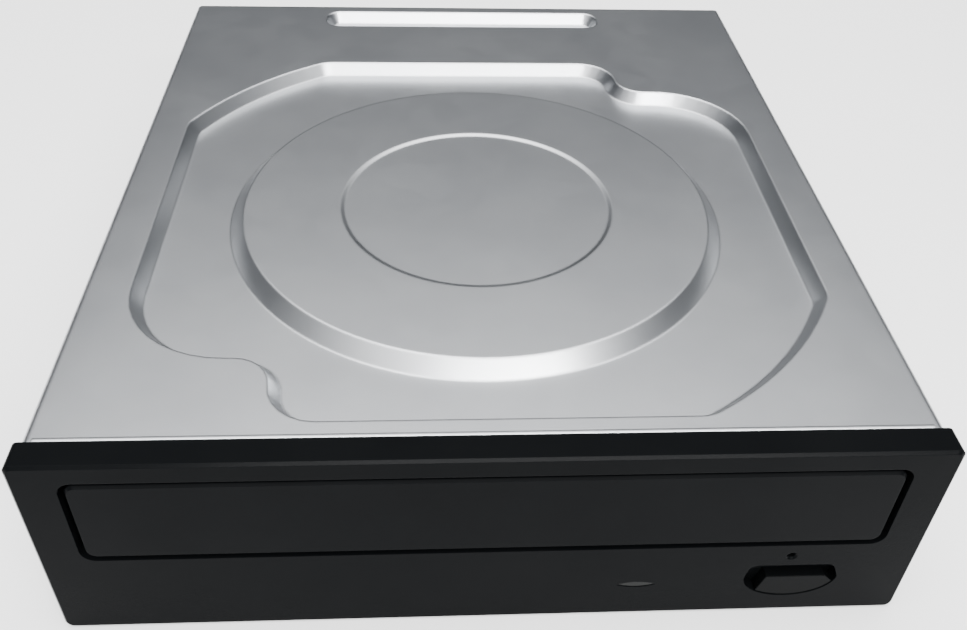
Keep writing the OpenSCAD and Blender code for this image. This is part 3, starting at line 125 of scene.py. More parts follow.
@dataclass(frozen=True)
class Finish:
    """The finish of one real material.

    Attributes:
        name: the material and its process.
        colour: main sRGB colour.
        shade: second sRGB colour, mottled into the first.
        metallic: one for bare metal, zero for the rest.
        rough: middle roughness.
        rough_spread: how far the roughness varies.
        grain: kind of fine relief.
        grain_mm: size of the relief's cells.
        relief_mm: height of the relief.
        mottle_mm: size of the colour's patches.
        edge_mm: radius that the eye sees on the edges.
        coat: strength of a clear layer on top.
        coat_rough: roughness of that layer.
        specular: how strongly a plastic's skin reflects, one half for a polished one.
        speckle: how far the fine grain alone changes the roughness.
        mottle_stops: places on the noise where the shade ends and the colour begins.
        mottle_range: noise values that stand for the least and the most rough patch.
    """

    name: str
    colour: str
    shade: str
    metallic: float = 0.0
    rough: float = 0.5
    rough_spread: float = 0.06
    grain: Grain = Grain.SMOOTH
    grain_mm: float = 0.5
    relief_mm: float = 0.01
    mottle_mm: float = 12.0
    edge_mm: float = 0.2
    coat: float = 0.0
    coat_rough: float = 0.15
    specular: float = 0.5
    speckle: float = 0.0
    mottle_stops: tuple[float, float] = (0.3, 0.7)
    mottle_range: tuple[float, float] = (0.25, 0.75)

    def material(self) -> bpy.types.Material:
        """Builds the material once.

        Returns:
            The material, which is the same one at every call.
        """
        known = bpy.data.materials.get(self.name)
        if known:
            return known
        made = bpy.data.materials.new(self.name)
        made.use_nodes = True
        tree = made.node_tree
        tree.nodes.clear()
        shader = add(tree, "ShaderNodeBsdfPrincipled", {
            "Metallic": self.metallic,
            "Coat Weight": self.coat,
            "Coat Roughness": self.coat_rough,
            "Specular IOR Level": self.specular,
        })
        place = add(tree, "ShaderNodeTexCoord").outputs["Object"]
        self.paint(tree, shader, place)
        tree.links.new(self.relief(tree, place), shader.inputs["Normal"])
        out = add(tree, "ShaderNodeOutputMaterial", {"Surface": shader.outputs[0]})
        out.is_active_output = True
        return made

    def paint(self, tree: bpy.types.NodeTree, shader: bpy.types.Node, place: bpy.types.NodeSocket) -> None:
        """Gives the shader its mottled colour and its roughness.

        Args:
            tree: the material's node tree.
            shader: the surface shader.
            place: Object coordinates.
        """
        patches = add(tree, "ShaderNodeTexNoise", {
            "Vector": place, "Scale": 1 / (self.mottle_mm * MM), "Detail": 4.0, "Roughness": 0.6,
        })
        tint = add(tree, "ShaderNodeValToRGB", {"Fac": patches.outputs["Fac"]},
                   stops=zip(self.mottle_stops, (self.shade, self.colour)))
        tree.links.new(tint.outputs["Color"], shader.inputs["Base Color"])
        wear = add(tree, "ShaderNodeMapRange", {
            "Value": patches.outputs["Fac"],
            "From Min": self.mottle_range[0], "From Max": self.mottle_range[1],
            "To Min": self.rough - self.rough_spread, "To Max": self.rough + self.rough_spread,
        })
        specks = add(tree, "ShaderNodeTexNoise", {
            "Vector": place, "Scale": 1 / (self.grain_mm * MM), "Detail": 1.0, "Roughness": 0.5,
        })
        total = add(tree, "ShaderNodeMath", {
            0: specks.outputs["Fac"], 1: self.speckle, 2: wear.outputs["Result"],
        }, operation="MULTIPLY_ADD")
        tree.links.new(total.outputs[0], shader.inputs["Roughness"])

    def relief(self, tree: bpy.types.NodeTree, place: bpy.types.NodeSocket) -> bpy.types.NodeSocket:
        """Builds the fine relief over softly rounded edges.

        Args:
            tree: the material's node tree.
            place: Object coordinates.

        Returns:
            The output that holds the surface's normal.
        """
        drawn = add(tree, "ShaderNodeMapping", {"Vector": place, "Scale": self.grain.stretch})
        cells = add(tree, "ShaderNodeTexNoise", {
            "Vector": drawn.outputs[0], "Scale": 1 / (self.grain_mm * MM), "Detail": 2.0, "Roughness": 0.55,
        })
        soft = add(tree, "ShaderNodeBevel", {"Radius": self.edge_mm * MM}, samples=6)
        bump = add(tree, "ShaderNodeBump", {
            "Height": cells.outputs["Fac"], "Distance": self.relief_mm * MM, "Strength": 1.0,
            "Normal": soft.outputs[0],
        })
        return bump.outputs[0]


@dataclass(frozen=True)
class PlatedSheet(Finish):
    """Plated or bare steel sheet: a soft satin shine with faint crystal patches and rolling lines.

    Attributes:
        spangle_mm: size of the crystal patches.
        spangle_spread: how far their roughness differs from the rest.
    """

    spangle_mm: float = 7.0
    spangle_spread: float = 0.006

    def paint(self, tree: bpy.types.NodeTree, shader: bpy.types.Node, place: bpy.types.NodeSocket) -> None:
        """Adds the faint crystal patches to the mottled colour and roughness.

        Args:
            tree: the material's node tree.
            shader: the surface shader.
            place: Object coordinates.
        """
        super().paint(tree, shader, place)
        crystals = add(tree, "ShaderNodeTexVoronoi", {
            "Vector": place, "Scale": 1 / (self.spangle_mm * MM), "Randomness": 1.0,
        })
        grey = add(tree, "ShaderNodeSeparateColor", {"Color": crystals.outputs["Color"]})
        change = add(tree, "ShaderNodeMapRange", {
            "Value": grey.outputs[0], "From Min": 0.0, "From Max": 1.0,
            "To Min": -self.spangle_spread, "To Max": self.spangle_spread,
        })
        rough = shader.inputs["Roughness"].links[0].from_socket
        total = add(tree, "ShaderNodeMath", {0: rough, 1: change.outputs["Result"]}, operation="ADD")
        tree.links.new(total.outputs[0], shader.inputs["Roughness"])


@dataclass(frozen=True)
class CircuitBoard(Finish):
    """Green solder resist over copper tracks: darker lanes and pale vias under a glossy sheet.

    Attributes:
        lane_mm: length that the lanes' pattern is scaled by.
        via_mm: distance between vias.
        via_places: places on the distance pattern where a via's tin ends and the resist begins.
        via_colour: sRGB colour of the tinned vias.
    """

    lane_mm: float = 6.4
    via_mm: float = 3.84
    via_places: tuple[float, float] = (0.10, 0.13)
    via_colour: str = "#b9bcae"

    def paint(self, tree: bpy.types.NodeTree, shader: bpy.types.Node, place: bpy.types.NodeSocket) -> None:
        """Draws tracks under the resist and small tinned vias.

        Args:
            tree: the material's node tree.
            shader: the surface shader.
            place: Object coordinates.
        """
        lanes = add(tree, "ShaderNodeTexBrick", {
            "Vector": place, "Scale": 1 / (self.lane_mm * MM),
            "Color1": linear(self.colour), "Color2": linear(self.colour), "Mortar": linear(self.shade),
            "Mortar Size": 0.05, "Brick Width": 1.7, "Row Height": 0.25,
        })
        vias = add(tree, "ShaderNodeTexVoronoi", {"Vector": place, "Scale": 1 / (self.via_mm * MM)})
        dots = add(tree, "ShaderNodeValToRGB", {"Fac": vias.outputs["Distance"]},
                   stops=zip(self.via_places, ("#ffffff", "#000000")))
        mixed = add(tree, "ShaderNodeMix", {
            "Factor": dots.outputs["Color"], "A": lanes.outputs["Color"], "B": linear(self.via_colour),
        }, data_type="RGBA")
        tree.links.new(mixed.outputs["Result"], shader.inputs["Base Color"])
        shader.inputs["Roughness"].default_value = self.rough


@dataclass(frozen=True)
class ClearPart(Finish):
    """A clear or smoked moulding that light passes through.

    Attributes:
        passes: share of the light that enters.
        bends: index of refraction.
    """

    passes: float = 0.8
    bends: float = 1.49

    def paint(self, tree: bpy.types.NodeTree, shader: bpy.types.Node, place: bpy.types.NodeSocket) -> None:
        """Makes the mottled part clear.

        Args:
            tree: the material's node tree.
            shader: the surface shader.
            place: Object coordinates.
        """
        super().paint(tree, shader, place)
        shader.inputs["Transmission Weight"].default_value = self.passes
        shader.inputs["IOR"].default_value = self.bends


# Most grains are finer in life, about a tenth of a millimetre.
# They are drawn coarser, so that they still show at the photograph's distance.

# Zinc plating on cold-rolled steel: the eye sees a satin grey with a soft, slightly cool sheen
PLATED_STEEL = PlatedSheet("zinc-plated cold-rolled steel", "#c8cacc", "#c0c2c5", metallic=1.0, rough=0.30,
                           rough_spread=0.006, grain=Grain.ROLLED, grain_mm=0.35, relief_mm=0.004,
                           mottle_mm=26.0, edge_mm=0.65)
# Bare sheet steel of the deck and bridge: a little darker and cloudier than the case
DECK_STEEL = PlatedSheet("stamped deck steel", "#a9acae", "#9da0a3", metallic=1.0, rough=0.34,
                         rough_spread=0.04, grain=Grain.ROLLED, grain_mm=0.3, relief_mm=0.006,
                         mottle_mm=14.0)
# Front panel: black moulding whose fine eroded texture leaves only a dim grey sheen
FRONT_ABS = Finish("textured black ABS", "#090a0b", "#070809", rough=0.20, rough_spread=0.02,
                   grain=Grain.MOULDED, grain_mm=0.28, relief_mm=0.008, mottle_mm=18.0, edge_mm=0.12,
                   specular=0.02, speckle=0.08)
# Tray front: the same resin from another tool, a shade lighter
DOOR_ABS = Finish("textured black ABS tray front", "#0a0b0c", "#08090a", rough=0.20, rough_spread=0.02,
                  grain=Grain.MOULDED, grain_mm=0.28, relief_mm=0.008, mottle_mm=18.0, edge_mm=0.12,
                  specular=0.02, speckle=0.08)
# Button: a smoother black moulding with softly rounded edges, which catch a thin line of light
BUTTON_ABS = Finish("polished black ABS", "#08090a", "#070808", rough=0.24, rough_spread=0.03,
                    grain=Grain.MOULDED, grain_mm=0.3, relief_mm=0.006, edge_mm=0.3, specular=0.025)
# Inner frame: plain black moulding, duller than the front
FRAME_ABS = Finish("moulded black frame ABS", "#131416", "#0f1011", rough=0.5, grain=Grain.MOULDED,
                   grain_mm=0.4, relief_mm=0.01, mottle_mm=20.0, specular=0.14)
# Disc tray: a matt grey so dark that it passes for black beside the front
TRAY_ABS = Finish("moulded dark grey tray ABS", "#1c1d20", "#191a1c", rough=0.45, grain=Grain.MOULDED,
                  grain_mm=0.3, relief_mm=0.01, mottle_mm=24.0, specular=0.1)
# Gears and slider: a milky, waxy white
ACETAL = Finish("natural moulded acetal", "#e4ddc8", "#dad2bb", rough=0.33, grain_mm=0.8, relief_mm=0.004,
                mottle_mm=8.0)
# Rods, shafts and motor cans: bright, with fine drawn lines
TURNED_STEEL = Finish("turned bright steel", "#c3c5c8", "#b6b9bd", metallic=1.0, rough=0.24,
                      grain=Grain.TURNED, grain_mm=0.15, relief_mm=0.003, mottle_mm=6.0, edge_mm=0.15)
# Screws: clear zinc, a little duller than the rods
SCREW_STEEL = Finish("zinc-plated screw steel", "#b9bbbd", "#a6a8aa", metallic=1.0, rough=0.32,
                     grain=Grain.TURNED, grain_mm=0.2, relief_mm=0.004, mottle_mm=3.0, edge_mm=0.15)
# Pickup carriage: die-cast zinc, dull silver with a faint cloudy skin
CAST_ZINC = Finish("die-cast zinc alloy", "#9da0a3", "#8b8e92", metallic=1.0, rough=0.48, grain=Grain.CAST,
                   relief_mm=0.02, mottle_mm=4.0)
# Belt and dampers: matt black rubber with a dusty bloom
RUBBER = Finish("moulded black rubber", "#111111", "#181818", rough=0.75, grain=Grain.MOULDED,
                grain_mm=0.4, relief_mm=0.015, mottle_mm=5.0, specular=0.2)
# Circuit boards: glossy green resist over tracks
BOARD = CircuitBoard("green solder resist on glass-epoxy", "#14532f", "#0e3f24", rough=0.28, coat=0.4,
                     grain_mm=1.2, relief_mm=0.006, edge_mm=0.1)
# Chip packages: dull black epoxy
CHIP = Finish("moulded epoxy package", "#17181a", "#131415", rough=0.55, grain=Grain.MOULDED,
              grain_mm=0.15, relief_mm=0.008, mottle_mm=5.0, edge_mm=0.1, specular=0.2)
# Lens: clear moulding with a bluish coating
LENS = ClearPart("coated moulded lens", "#dfe6f2", "#d5deee", rough=0.04, rough_spread=0.01,
                 passes=0.75, bends=1.53, relief_mm=0.0, edge_mm=0.1, coat=1.0)
# Lamp window: smoked light guide, almost black until it is lit
SMOKED = ClearPart("smoked acrylic light guide", "#101211", "#0c0e0d", rough=0.16, rough_spread=0.02,
                   passes=0.25, relief_mm=0.001, edge_mm=0.15, specular=0.03)
# Flat cable: white polyester over tinned wires
RIBBON = Finish("polyester flat cable", "#dfe1e4", "#cfd2d6", rough=0.36, mottle_mm=3.0, relief_mm=0.004)
# Leads and solder: bright tin
TIN = Finish("tinned copper lead", "#d0d2d3", "#bfc2c4", metallic=1.0, rough=0.3, mottle_mm=1.0,
             relief_mm=0.002, edge_mm=0.05)
# Socket contacts: thin gold over nickel, warm and shiny
GOLD = Finish("gold-plated contact", "#d9aa48", "#cf9e3c", metallic=1.0, rough=0.22, mottle_mm=1.5,
              relief_mm=0.001, edge_mm=0.05)
# Small resistors and capacitors: fired ceramic, brown and matt
CERAMIC = Finish("fired ceramic part", "#6b5a45", "#57493a", rough=0.55, mottle_mm=2.0, relief_mm=0.002,
                 edge_mm=0.08)
# Floor: plain pale paper sweep
PAPER = Finish("matt white paper", "#f4f4f4", "#f2f2f2", rough=0.9, rough_spread=0.02, mottle_mm=300.0,
               grain_mm=1.0, relief_mm=0.0, edge_mm=0.1)


def finished(mesh: bmesh.types.BMesh, name: str, finish: Finish) -> bpy.types.Object:
    """Turns a built mesh into a dressed object at the origin.

    Args:
        mesh: the built bmesh, which is freed.
        name: name of the piece.
        finish: what it is made of.

    Returns:
        The new object.
    """
    bmesh.ops.recalc_face_normals(mesh, faces=mesh.faces)
    data = bpy.data.meshes.new(name)
    mesh.to_mesh(data)
    mesh.free()
    data.materials.append(finish.material())
    made = bpy.data.objects.new(name, data)
    bpy.context.scene.collection.objects.link(made)
    return made


def smooth_tree() -> bpy.types.NodeTree:
    """Builds the modifier's nodes that shade shallow folds smooth and keep steep ones crisp.

    Returns:
        The node tree, which is the same one at every call.
    """
    name = "smooth the facets"
    join_mm = 0.002
    crisp_over = radians(18)
    if name in bpy.data.node_groups:
        return bpy.data.node_groups[name]
    tree = bpy.data.node_groups.new(name, "GeometryNodeTree")
    for way in ("INPUT", "OUTPUT"):
        tree.interface.new_socket("Geometry", in_out=way, socket_type="NodeSocketGeometry")
    start = add(tree, "NodeGroupInput")
    joined = add(tree, "GeometryNodeMergeByDistance", {
        "Geometry": start.outputs[0], "Distance": join_mm * MM,
    })
    bare = add(tree, "GeometryNodeRemoveAttribute", {
        "Geometry": joined.outputs[0], "Name": "custom_normal",
    })
    faces = add(tree, "GeometryNodeSetShadeSmooth", {
        "Geometry": bare.outputs[0], "Shade Smooth": True,
    }, domain="FACE")
    fold = add(tree, "GeometryNodeInputMeshEdgeAngle")
    steep = add(tree, "FunctionNodeCompare", {
        0: fold.outputs["Unsigned Angle"], 1: crisp_over,
    }, data_type="FLOAT", operation="GREATER_THAN")
    crisp = add(tree, "GeometryNodeSetShadeSmooth", {
        "Geometry": faces.outputs[0], "Selection": steep.outputs[0], "Shade Smooth": False,
    }, domain="EDGE")
    add(tree, "NodeGroupOutput", {"Geometry": crisp.outputs[0]})
    return tree


def rounded_block(mesh: bmesh.types.BMesh, low: Vector, high: Vector, radius: float, steps: int) -> None:
    """Adds a block with rounded edges.

    Args:
        mesh: the bmesh that it goes into.
        low: lowest corner, in metres.
        high: highest corner, in metres.
        radius: radius of its edges, in metres.
        steps: segments across each rounded edge.
    """
    middle = (low + high) / 2
    made = bmesh.ops.create_cube(mesh, size=1.0, matrix=Matrix.LocRotScale(middle, None, high - low))
    edges = list({edge for vert in made["verts"] for edge in vert.link_edges})
    bmesh.ops.bevel(mesh, geom=edges, offset=radius, segments=steps, profile=0.5, affect="EDGES",
                    material=-1)


def bent_strip(mesh: bmesh.types.BMesh, path: list[Vector], side: Vector, thick: float) -> None:
    """Adds a strip that follows a bent path, such as a formed lead.

    Args:
        mesh: the bmesh that it goes into.
        path: middle of the strip's underside at each bend, in metres.
        side: half the strip's width, as a vector across the path.
        thick: thickness upwards, in metres.
    """
    lift = Vector((0, 0, thick))
    start = path[0]
    corners = (start - side, start + side, start + side + lift, start - side + lift)
    end = mesh.faces.new([mesh.verts.new(corner) for corner in corners])
    for near, far in zip(path, path[1:]):
        grown = bmesh.ops.extrude_face_region(mesh, geom=[end])["geom"]
        if near is not start:
            mesh.faces.remove(end)
        end = next(item for item in grown if isinstance(item, bmesh.types.BMFace))
        bmesh.ops.translate(mesh, verts=list(end.verts), vec=far - near)


@dataclass
class SubAssembly:
    """A group of pieces that belongs together.

    Attributes:
        finishes: CAD node to its finish.
        softened: CAD nodes whose curved faces are shaded without facets.
    """

    finishes: dict[str, Finish] = field(default_factory=dict)
    softened: tuple[str, ...] = ()

    def dress(self) -> None:
        """Gives each CAD node its finish and smooths the facets of those that need it."""
        for node, finish in self.finishes.items():
            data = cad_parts[node].data
            if not data.materials:
                data.materials.append(None)
            for i in range(len(data.materials)):
                data.materials[i] = finish.material()
            LOG.info("dressed %s in %s", node, finish.name)
        for node in self.softened:
            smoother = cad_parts[node].modifiers.new("smooth the facets", "NODES")
            smoother.node_group = smooth_tree()

    def build(self) -> None:
        """Builds the group's own pieces, where it has some."""

    def keep(self, piece: bpy.types.Object, body: str, slot: str) -> None:
        """Makes a new piece ride on a body.

        Args:
            piece: the new piece.
            body: the CAD body that it moves with.
            slot: the record's material slot for it, not used.
        """
        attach(piece, body)
        LOG.info("built %s on %s", piece.name, body)


@dataclass
class CaseShell(SubAssembly):
    """The folded cover, the base plate and the cover's rolled lip behind the front panel.

    Attributes:
        lip_inset: from the cover's side to the lip's end.
        lip_back: from the cover's front edge to the lip.
        lip_deep: depth of the lip.
        lip_sunk: how far the lip starts below the cover's top.
        lip_proud: how far it stands above the cover's top.
        lip_radius: radius of its edges.
        lip_steps: segments across each rounded edge.
    """

    lip_inset: float = 1.85 * MM
    lip_back: float = 0.01 * MM
    lip_deep: float = 0.95 * MM
    lip_sunk: float = 0.15 * MM
    lip_proud: float = 0.32 * MM
    lip_radius: float = 0.22 * MM
    lip_steps: int = 3
    softened: tuple[str, ...] = ("top_cover",)
    finishes: dict[str, Finish] = field(default_factory=lambda: {
        "top_cover": PLATED_STEEL, "bottom_cover": PLATED_STEEL,
    })

    def build(self) -> None:
        """Builds the cover's rolled front lip."""
        cover_low, cover_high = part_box("top_cover")
        front = cover_low.y + self.lip_back
        low = Vector((cover_low.x + self.lip_inset, front, cover_high.z - self.lip_sunk))
        high = Vector((cover_high.x - self.lip_inset, front + self.lip_deep, cover_high.z + self.lip_proud))
        mesh = bmesh.new()
        rounded_block(mesh, low, high, self.lip_radius, self.lip_steps)
        self.keep(finished(mesh, "cover_front_lip", PLATED_STEEL), "chassis", "cover_steel")


@dataclass
class FrontPanel(SubAssembly):
    """The front panel, its lamp window, the tray front and the eject button."""

    softened: tuple[str, ...] = ("front_bezel", "eject_button")
    finishes: dict[str, Finish] = field(default_factory=lambda: {
        "front_bezel": FRONT_ABS, "led_lens": SMOKED, "tray_door": DOOR_ABS, "eject_button": BUTTON_ABS,
    })


@dataclass
class TrayUnit(SubAssembly):
    """The disc tray and the frame that it runs in."""

    finishes: dict[str, Finish] = field(default_factory=lambda: {
        "disc_tray": TRAY_ABS, "main_frame": FRAME_ABS,
    })


@dataclass
class LoadingDrive(SubAssembly):
    """Motor, belt, gears and slider that move the tray."""

    finishes: dict[str, Finish] = field(default_factory=lambda: {
        "loading_motor": TURNED_STEEL, "motor_pulley": ACETAL, "drive_belt": RUBBER, "pulley_gear": ACETAL,
        "middle_gear": ACETAL, "drive_gear": ACETAL, "cam_slider": ACETAL,
    })


@dataclass
class DeckUnit(SubAssembly):
    """The lifting deck with its spindle and pickup."""

    finishes: dict[str, Finish] = field(default_factory=lambda: {
        "lift_frame": FRAME_ABS, "deck_plate": DECK_STEEL, "deck_dampers": RUBBER, "deck_screws": SCREW_STEEL,
        "spindle_base": DECK_STEEL, "spindle_rotor": TURNED_STEEL, "turntable": FRAME_ABS,
        "turntable_pad": RUBBER, "guide_rods": TURNED_STEEL, "rod_clamps": FRAME_ABS,
        "sled_motor": TURNED_STEEL, "lead_screw": TURNED_STEEL, "pickup_sled": CAST_ZINC,
        "lens_actuator": DECK_STEEL, "objective_lens": LENS,
    })


@dataclass
class ClampUnit(SubAssembly):
    """The steel bridge and the clamper that hangs in it."""

    finishes: dict[str, Finish] = field(default_factory=lambda: {
        "clamp_bridge": DECK_STEEL, "clamper": ACETAL, "clamper_magnet": TURNED_STEEL,
        "clamper_cap": ACETAL, "bridge_screws": SCREW_STEEL,
    })


@dataclass(frozen=True)
class Package:
    """One chip package on the main board, in millimetres.

    Attributes:
        x: place across the board.
        back: distance behind the front face.
        width: size across the board.
        depth: size from front to back.
        height: height above the board.
        pitch: distance between leads.
        all_sides: whether the front and back have leads as well as the two sides.
    """

    x: float
    back: float
    width: float
    depth: float
    height: float
    pitch: float = 0.8
    all_sides: bool = False


@dataclass(frozen=True)
class LeadForm:
    """The bent form of a chip's lead, in millimetres where no share is named.

    Attributes:
        leaves: height where it leaves the package, as a share of the package's height.
        shoulder: reach of the level part.
        ankle: reach where the slope meets the board.
        toe: reach of the foot's end.
        lift: gap under the foot.
        thick: thickness of the lead.
        half_share: half its width, as a share of the pitch.
        margin: length of a side that has no leads.
    """

    leaves: float = 0.45
    shoulder: float = 0.3
    ankle: float = 0.5
    toe: float = 1.1
    lift: float = 0.02
    thick: float = 0.12
    half_share: float = 0.2
    margin: float = 0.6


@dataclass(frozen=True)
class SmallPart:
    """A small resistor or capacitor and its two tinned ends, in millimetres.

    Attributes:
        half_w: half the body's width.
        half_d: half the body's depth.
        lift: gap under the body.
        top: height of the body's top.
        end_from: distances from the middle to the left side of each end.
        end_w: width of an end.
        end_half_d: half the depth of an end.
        end_top: height of an end's top.
        radius: radius of the edges.
    """

    half_w: float = 0.55
    half_d: float = 0.4
    lift: float = 0.02
    top: float = 0.47
    end_from: tuple[float, float] = (-0.8, 0.5)
    end_w: float = 0.3
    end_half_d: float = 0.42
    end_top: float = 0.5
    radius: float = 0.05


@dataclass
class Electronics(SubAssembly):
    """Boards, chips, sockets, switch, lamp and flat cable. Sizes are in millimetres where not said.

    Attributes:
        front: place of the part's front face, in metres.
        board_top: height of the main board's upper side, in metres.
        chips: the packages that have leads.
        lead: the form of their leads.
        small: the form of the small parts.
        rows: distances back of the rows of small parts.
        row_start: x of the first place in a row.
        row_step: distance between places in a row.
        row_count: number of places in a row.
        row_shift: how far a row is set over from the one before, in turns of three.
        clear_w: room kept beside a package's side.
        clear_d: room kept before and behind a package.
        taken: other taken places as x, distance back, half width and half depth.
        tongues: the rear socket's tongues as left x and number of contacts.
        contact_pitch: distance between contacts.
        contact_half_w: half a contact's width.
        contact_thick: thickness of a contact.
        contact_route: distance back and height above the board at each bend of a contact.
    """

    front: float = CAD_BOX[0].y
    board_top: float = field(default_factory=lambda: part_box("main_board")[1].z)
    chips: tuple[Package, ...] = (
        Package(8, 108, 20, 20, 1.6, all_sides=True), Package(-24, 112, 10, 9, 1.3),
        Package(34, 96, 9, 14, 1.2), Package(32, 122, 12, 8, 1.6),
        Package(-6, 84, 7, 7, 1.0, pitch=0.65, all_sides=True), Package(14, 86, 5, 3.2, 1.0, pitch=1.27),
        Package(-40, 126, 8, 6, 1.8, pitch=1.27), Package(12, 134, 6, 5, 1.4, pitch=1.27),
    )
    lead: LeadForm = LeadForm()
    small: SmallPart = SmallPart()
    rows: tuple[float, ...] = (76, 93, 100, 122, 128, 139)
    row_start: float = -51
    row_step: float = 4.3
    row_count: int = 24
    row_shift: float = 0.9
    clear_w: float = 3.0
    clear_d: float = 2.6
    taken: tuple[tuple[float, float, float, float], ...] = (
        (50, 92, 5, 5), (-50, 92, 5, 5), (42, 65, 9, 6), (-12, 146, 14, 4), (24, 146, 12, 4),
        (-41, 74, 17, 14),
    )
    tongues: tuple[tuple[float, int], ...] = ((-45.4, 15), (-19.9, 7))
    contact_pitch: float = 1.27
    contact_half_w: float = 0.4
    contact_thick: float = 0.06
    contact_route: tuple[tuple[float, float], ...] = ((159.2, 3.8), (165.3, 3.8), (165.65, 3.7))
    finishes: dict[str, Finish] = field(default_factory=lambda: {
        "main_board": BOARD, "board_chips": CHIP, "board_sockets": ACETAL, "data_power_socket": FRAME_ABS,
        "front_board": BOARD, "eject_switch": TURNED_STEEL, "led_lamp": SMOKED, "front_ribbon": RIBBON,
        "cover_screws": SCREW_STEEL, "board_screws": SCREW_STEEL,
    })

    def at(self, x: float, back: float, up: float = 0.0) -> Vector:
        """Gives a place over the main board.

        Args:
            x: place across the board, in millimetres.
            back: distance behind the front face, in millimetres.
            up: height above the board, in millimetres.

        Returns:
            The place in metres.
        """
        return Vector((x * MM, self.front + back * MM, self.board_top + up * MM))

    def build(self) -> None:
        """Builds the chips' leads, the small parts and the socket's contacts."""
        self.keep(self.chip_leads(), "chassis", "steel")
        bodies, ends = self.small_parts()
        self.keep(bodies, "chassis", "chip")
        self.keep(ends, "chassis", "steel")
        self.keep(self.socket_contacts(), "chassis", "alloy")

    def chip_leads(self) -> bpy.types.Object:
        """Builds the leads of every package as one piece."""
        mesh = bmesh.new()
        for chip in self.chips:
            half_w, half_d = chip.width / 2, chip.depth / 2
            sides = [((-half_w, 0), (-1, 0), chip.depth), ((half_w, 0), (1, 0), chip.depth)]
            if chip.all_sides:
                sides += [((0, -half_d), (0, -1), chip.width), ((0, half_d), (0, 1), chip.width)]
            for (x, back), out, run in sides:
                self.lead_row(mesh, self.at(chip.x + x, chip.back + back), Vector((*out, 0)), run, chip)
        return finished(mesh, "chip_leads", TIN)

    def lead_row(self, mesh: bmesh.types.BMesh, middle: Vector, out: Vector, run: float,
                 chip: Package) -> None:
        """Adds one side's formed leads.

        Args:
            mesh: the bmesh that they go into.
            middle: foot of the package's side, in metres.
            out: unit vector away from the package.
            run: length of that side, in millimetres.
            chip: the package.
        """
        form = self.lead
        across = Vector((-out.y, out.x, 0))
        high = form.leaves * chip.height
        shape = ((0.0, high), (form.shoulder, high), (form.ankle, form.lift), (form.toe, form.lift))
        count = int((run - form.margin) / chip.pitch)
        for i in range(count):
            foot = middle + across * ((i - (count - 1) / 2) * chip.pitch * MM)
            path = [foot + out * (reach * MM) + Vector((0, 0, up * MM)) for reach, up in shape]
            bent_strip(mesh, path, across * (chip.pitch * form.half_share * MM), form.thick * MM)

    def small_parts(self) -> tuple[bpy.types.Object, bpy.types.Object]:
        """Builds the small parts.

        Returns:
            Their bodies as one piece, and their tinned ends as another.
        """
        form = self.small
        radius = form.radius * MM
        bodies, ends = bmesh.new(), bmesh.new()
        for x, back in self.small_places():
            rounded_block(bodies, self.at(x - form.half_w, back - form.half_d, form.lift),
                          self.at(x + form.half_w, back + form.half_d, form.top), radius, 1)
            for left in form.end_from:
                rounded_block(ends, self.at(x + left, back - form.end_half_d),
                              self.at(x + left + form.end_w, back + form.end_half_d, form.end_top), radius, 1)
        return finished(bodies, "small_parts", CERAMIC), finished(ends, "small_part_ends", TIN)

    def small_places(self) -> list[tuple[float, float]]:
        """Finds places for small parts that are clear of the packages, sockets, cut-outs and screws.

        Returns:
            Pairs of x and distance back, in millimetres.
        """
        taken = [(chip.x, chip.back, chip.width / 2 + self.clear_w, chip.depth / 2 + self.clear_d)
                 for chip in self.chips]
        taken += self.taken
        spots = [(self.row_start + self.row_step * i + (row % 3) * self.row_shift, row)
                 for row in self.rows for i in range(self.row_count)]
        return [(x, row) for x, row in spots
                if all(abs(x - mid_x) > half_w or abs(row - mid_back) > half_d
                       for mid_x, mid_back, half_w, half_d in taken)]

    def socket_contacts(self) -> bpy.types.Object:
        """Builds the gold contacts on the rear socket's tongues as one piece."""
        mesh = bmesh.new()
        side = Vector((self.contact_half_w * MM, 0, 0))
        for left, count in self.tongues:
            for i in range(count):
                x = left + self.contact_pitch * i + self.contact_half_w
                path = [self.at(x, back, up) for back, up in self.contact_route]
                bent_strip(mesh, path, side, self.contact_thick * MM)
        return finished(mesh, "socket_contacts", GOLD)


@dataclass(frozen=True)
class Softbox:
    """One soft lamp.

    Attributes:
        name: name of the lamp.
        place: where it hangs, in metres.
        aim: the point that it faces.
        size: width and height of its panel, in metres.
        watts: its power.
    """

    name: str
    place: Triple
    aim: Triple
    size: tuple[float, float]
    watts: float

    def hang(self) -> None:
        """Adds the lamp to the scene."""
        data = bpy.data.lights.new(self.name, "AREA")
        data.shape = "RECTANGLE"
        data.size, data.size_y = self.size
        data.energy = self.watts
        made = bpy.data.objects.new(self.name, data)
        made.location = self.place
        made.rotation_euler = (Vector(self.aim) - Vector(self.place)).to_track_quat("-Z", "Y").to_euler()
        bpy.context.scene.collection.objects.link(made)


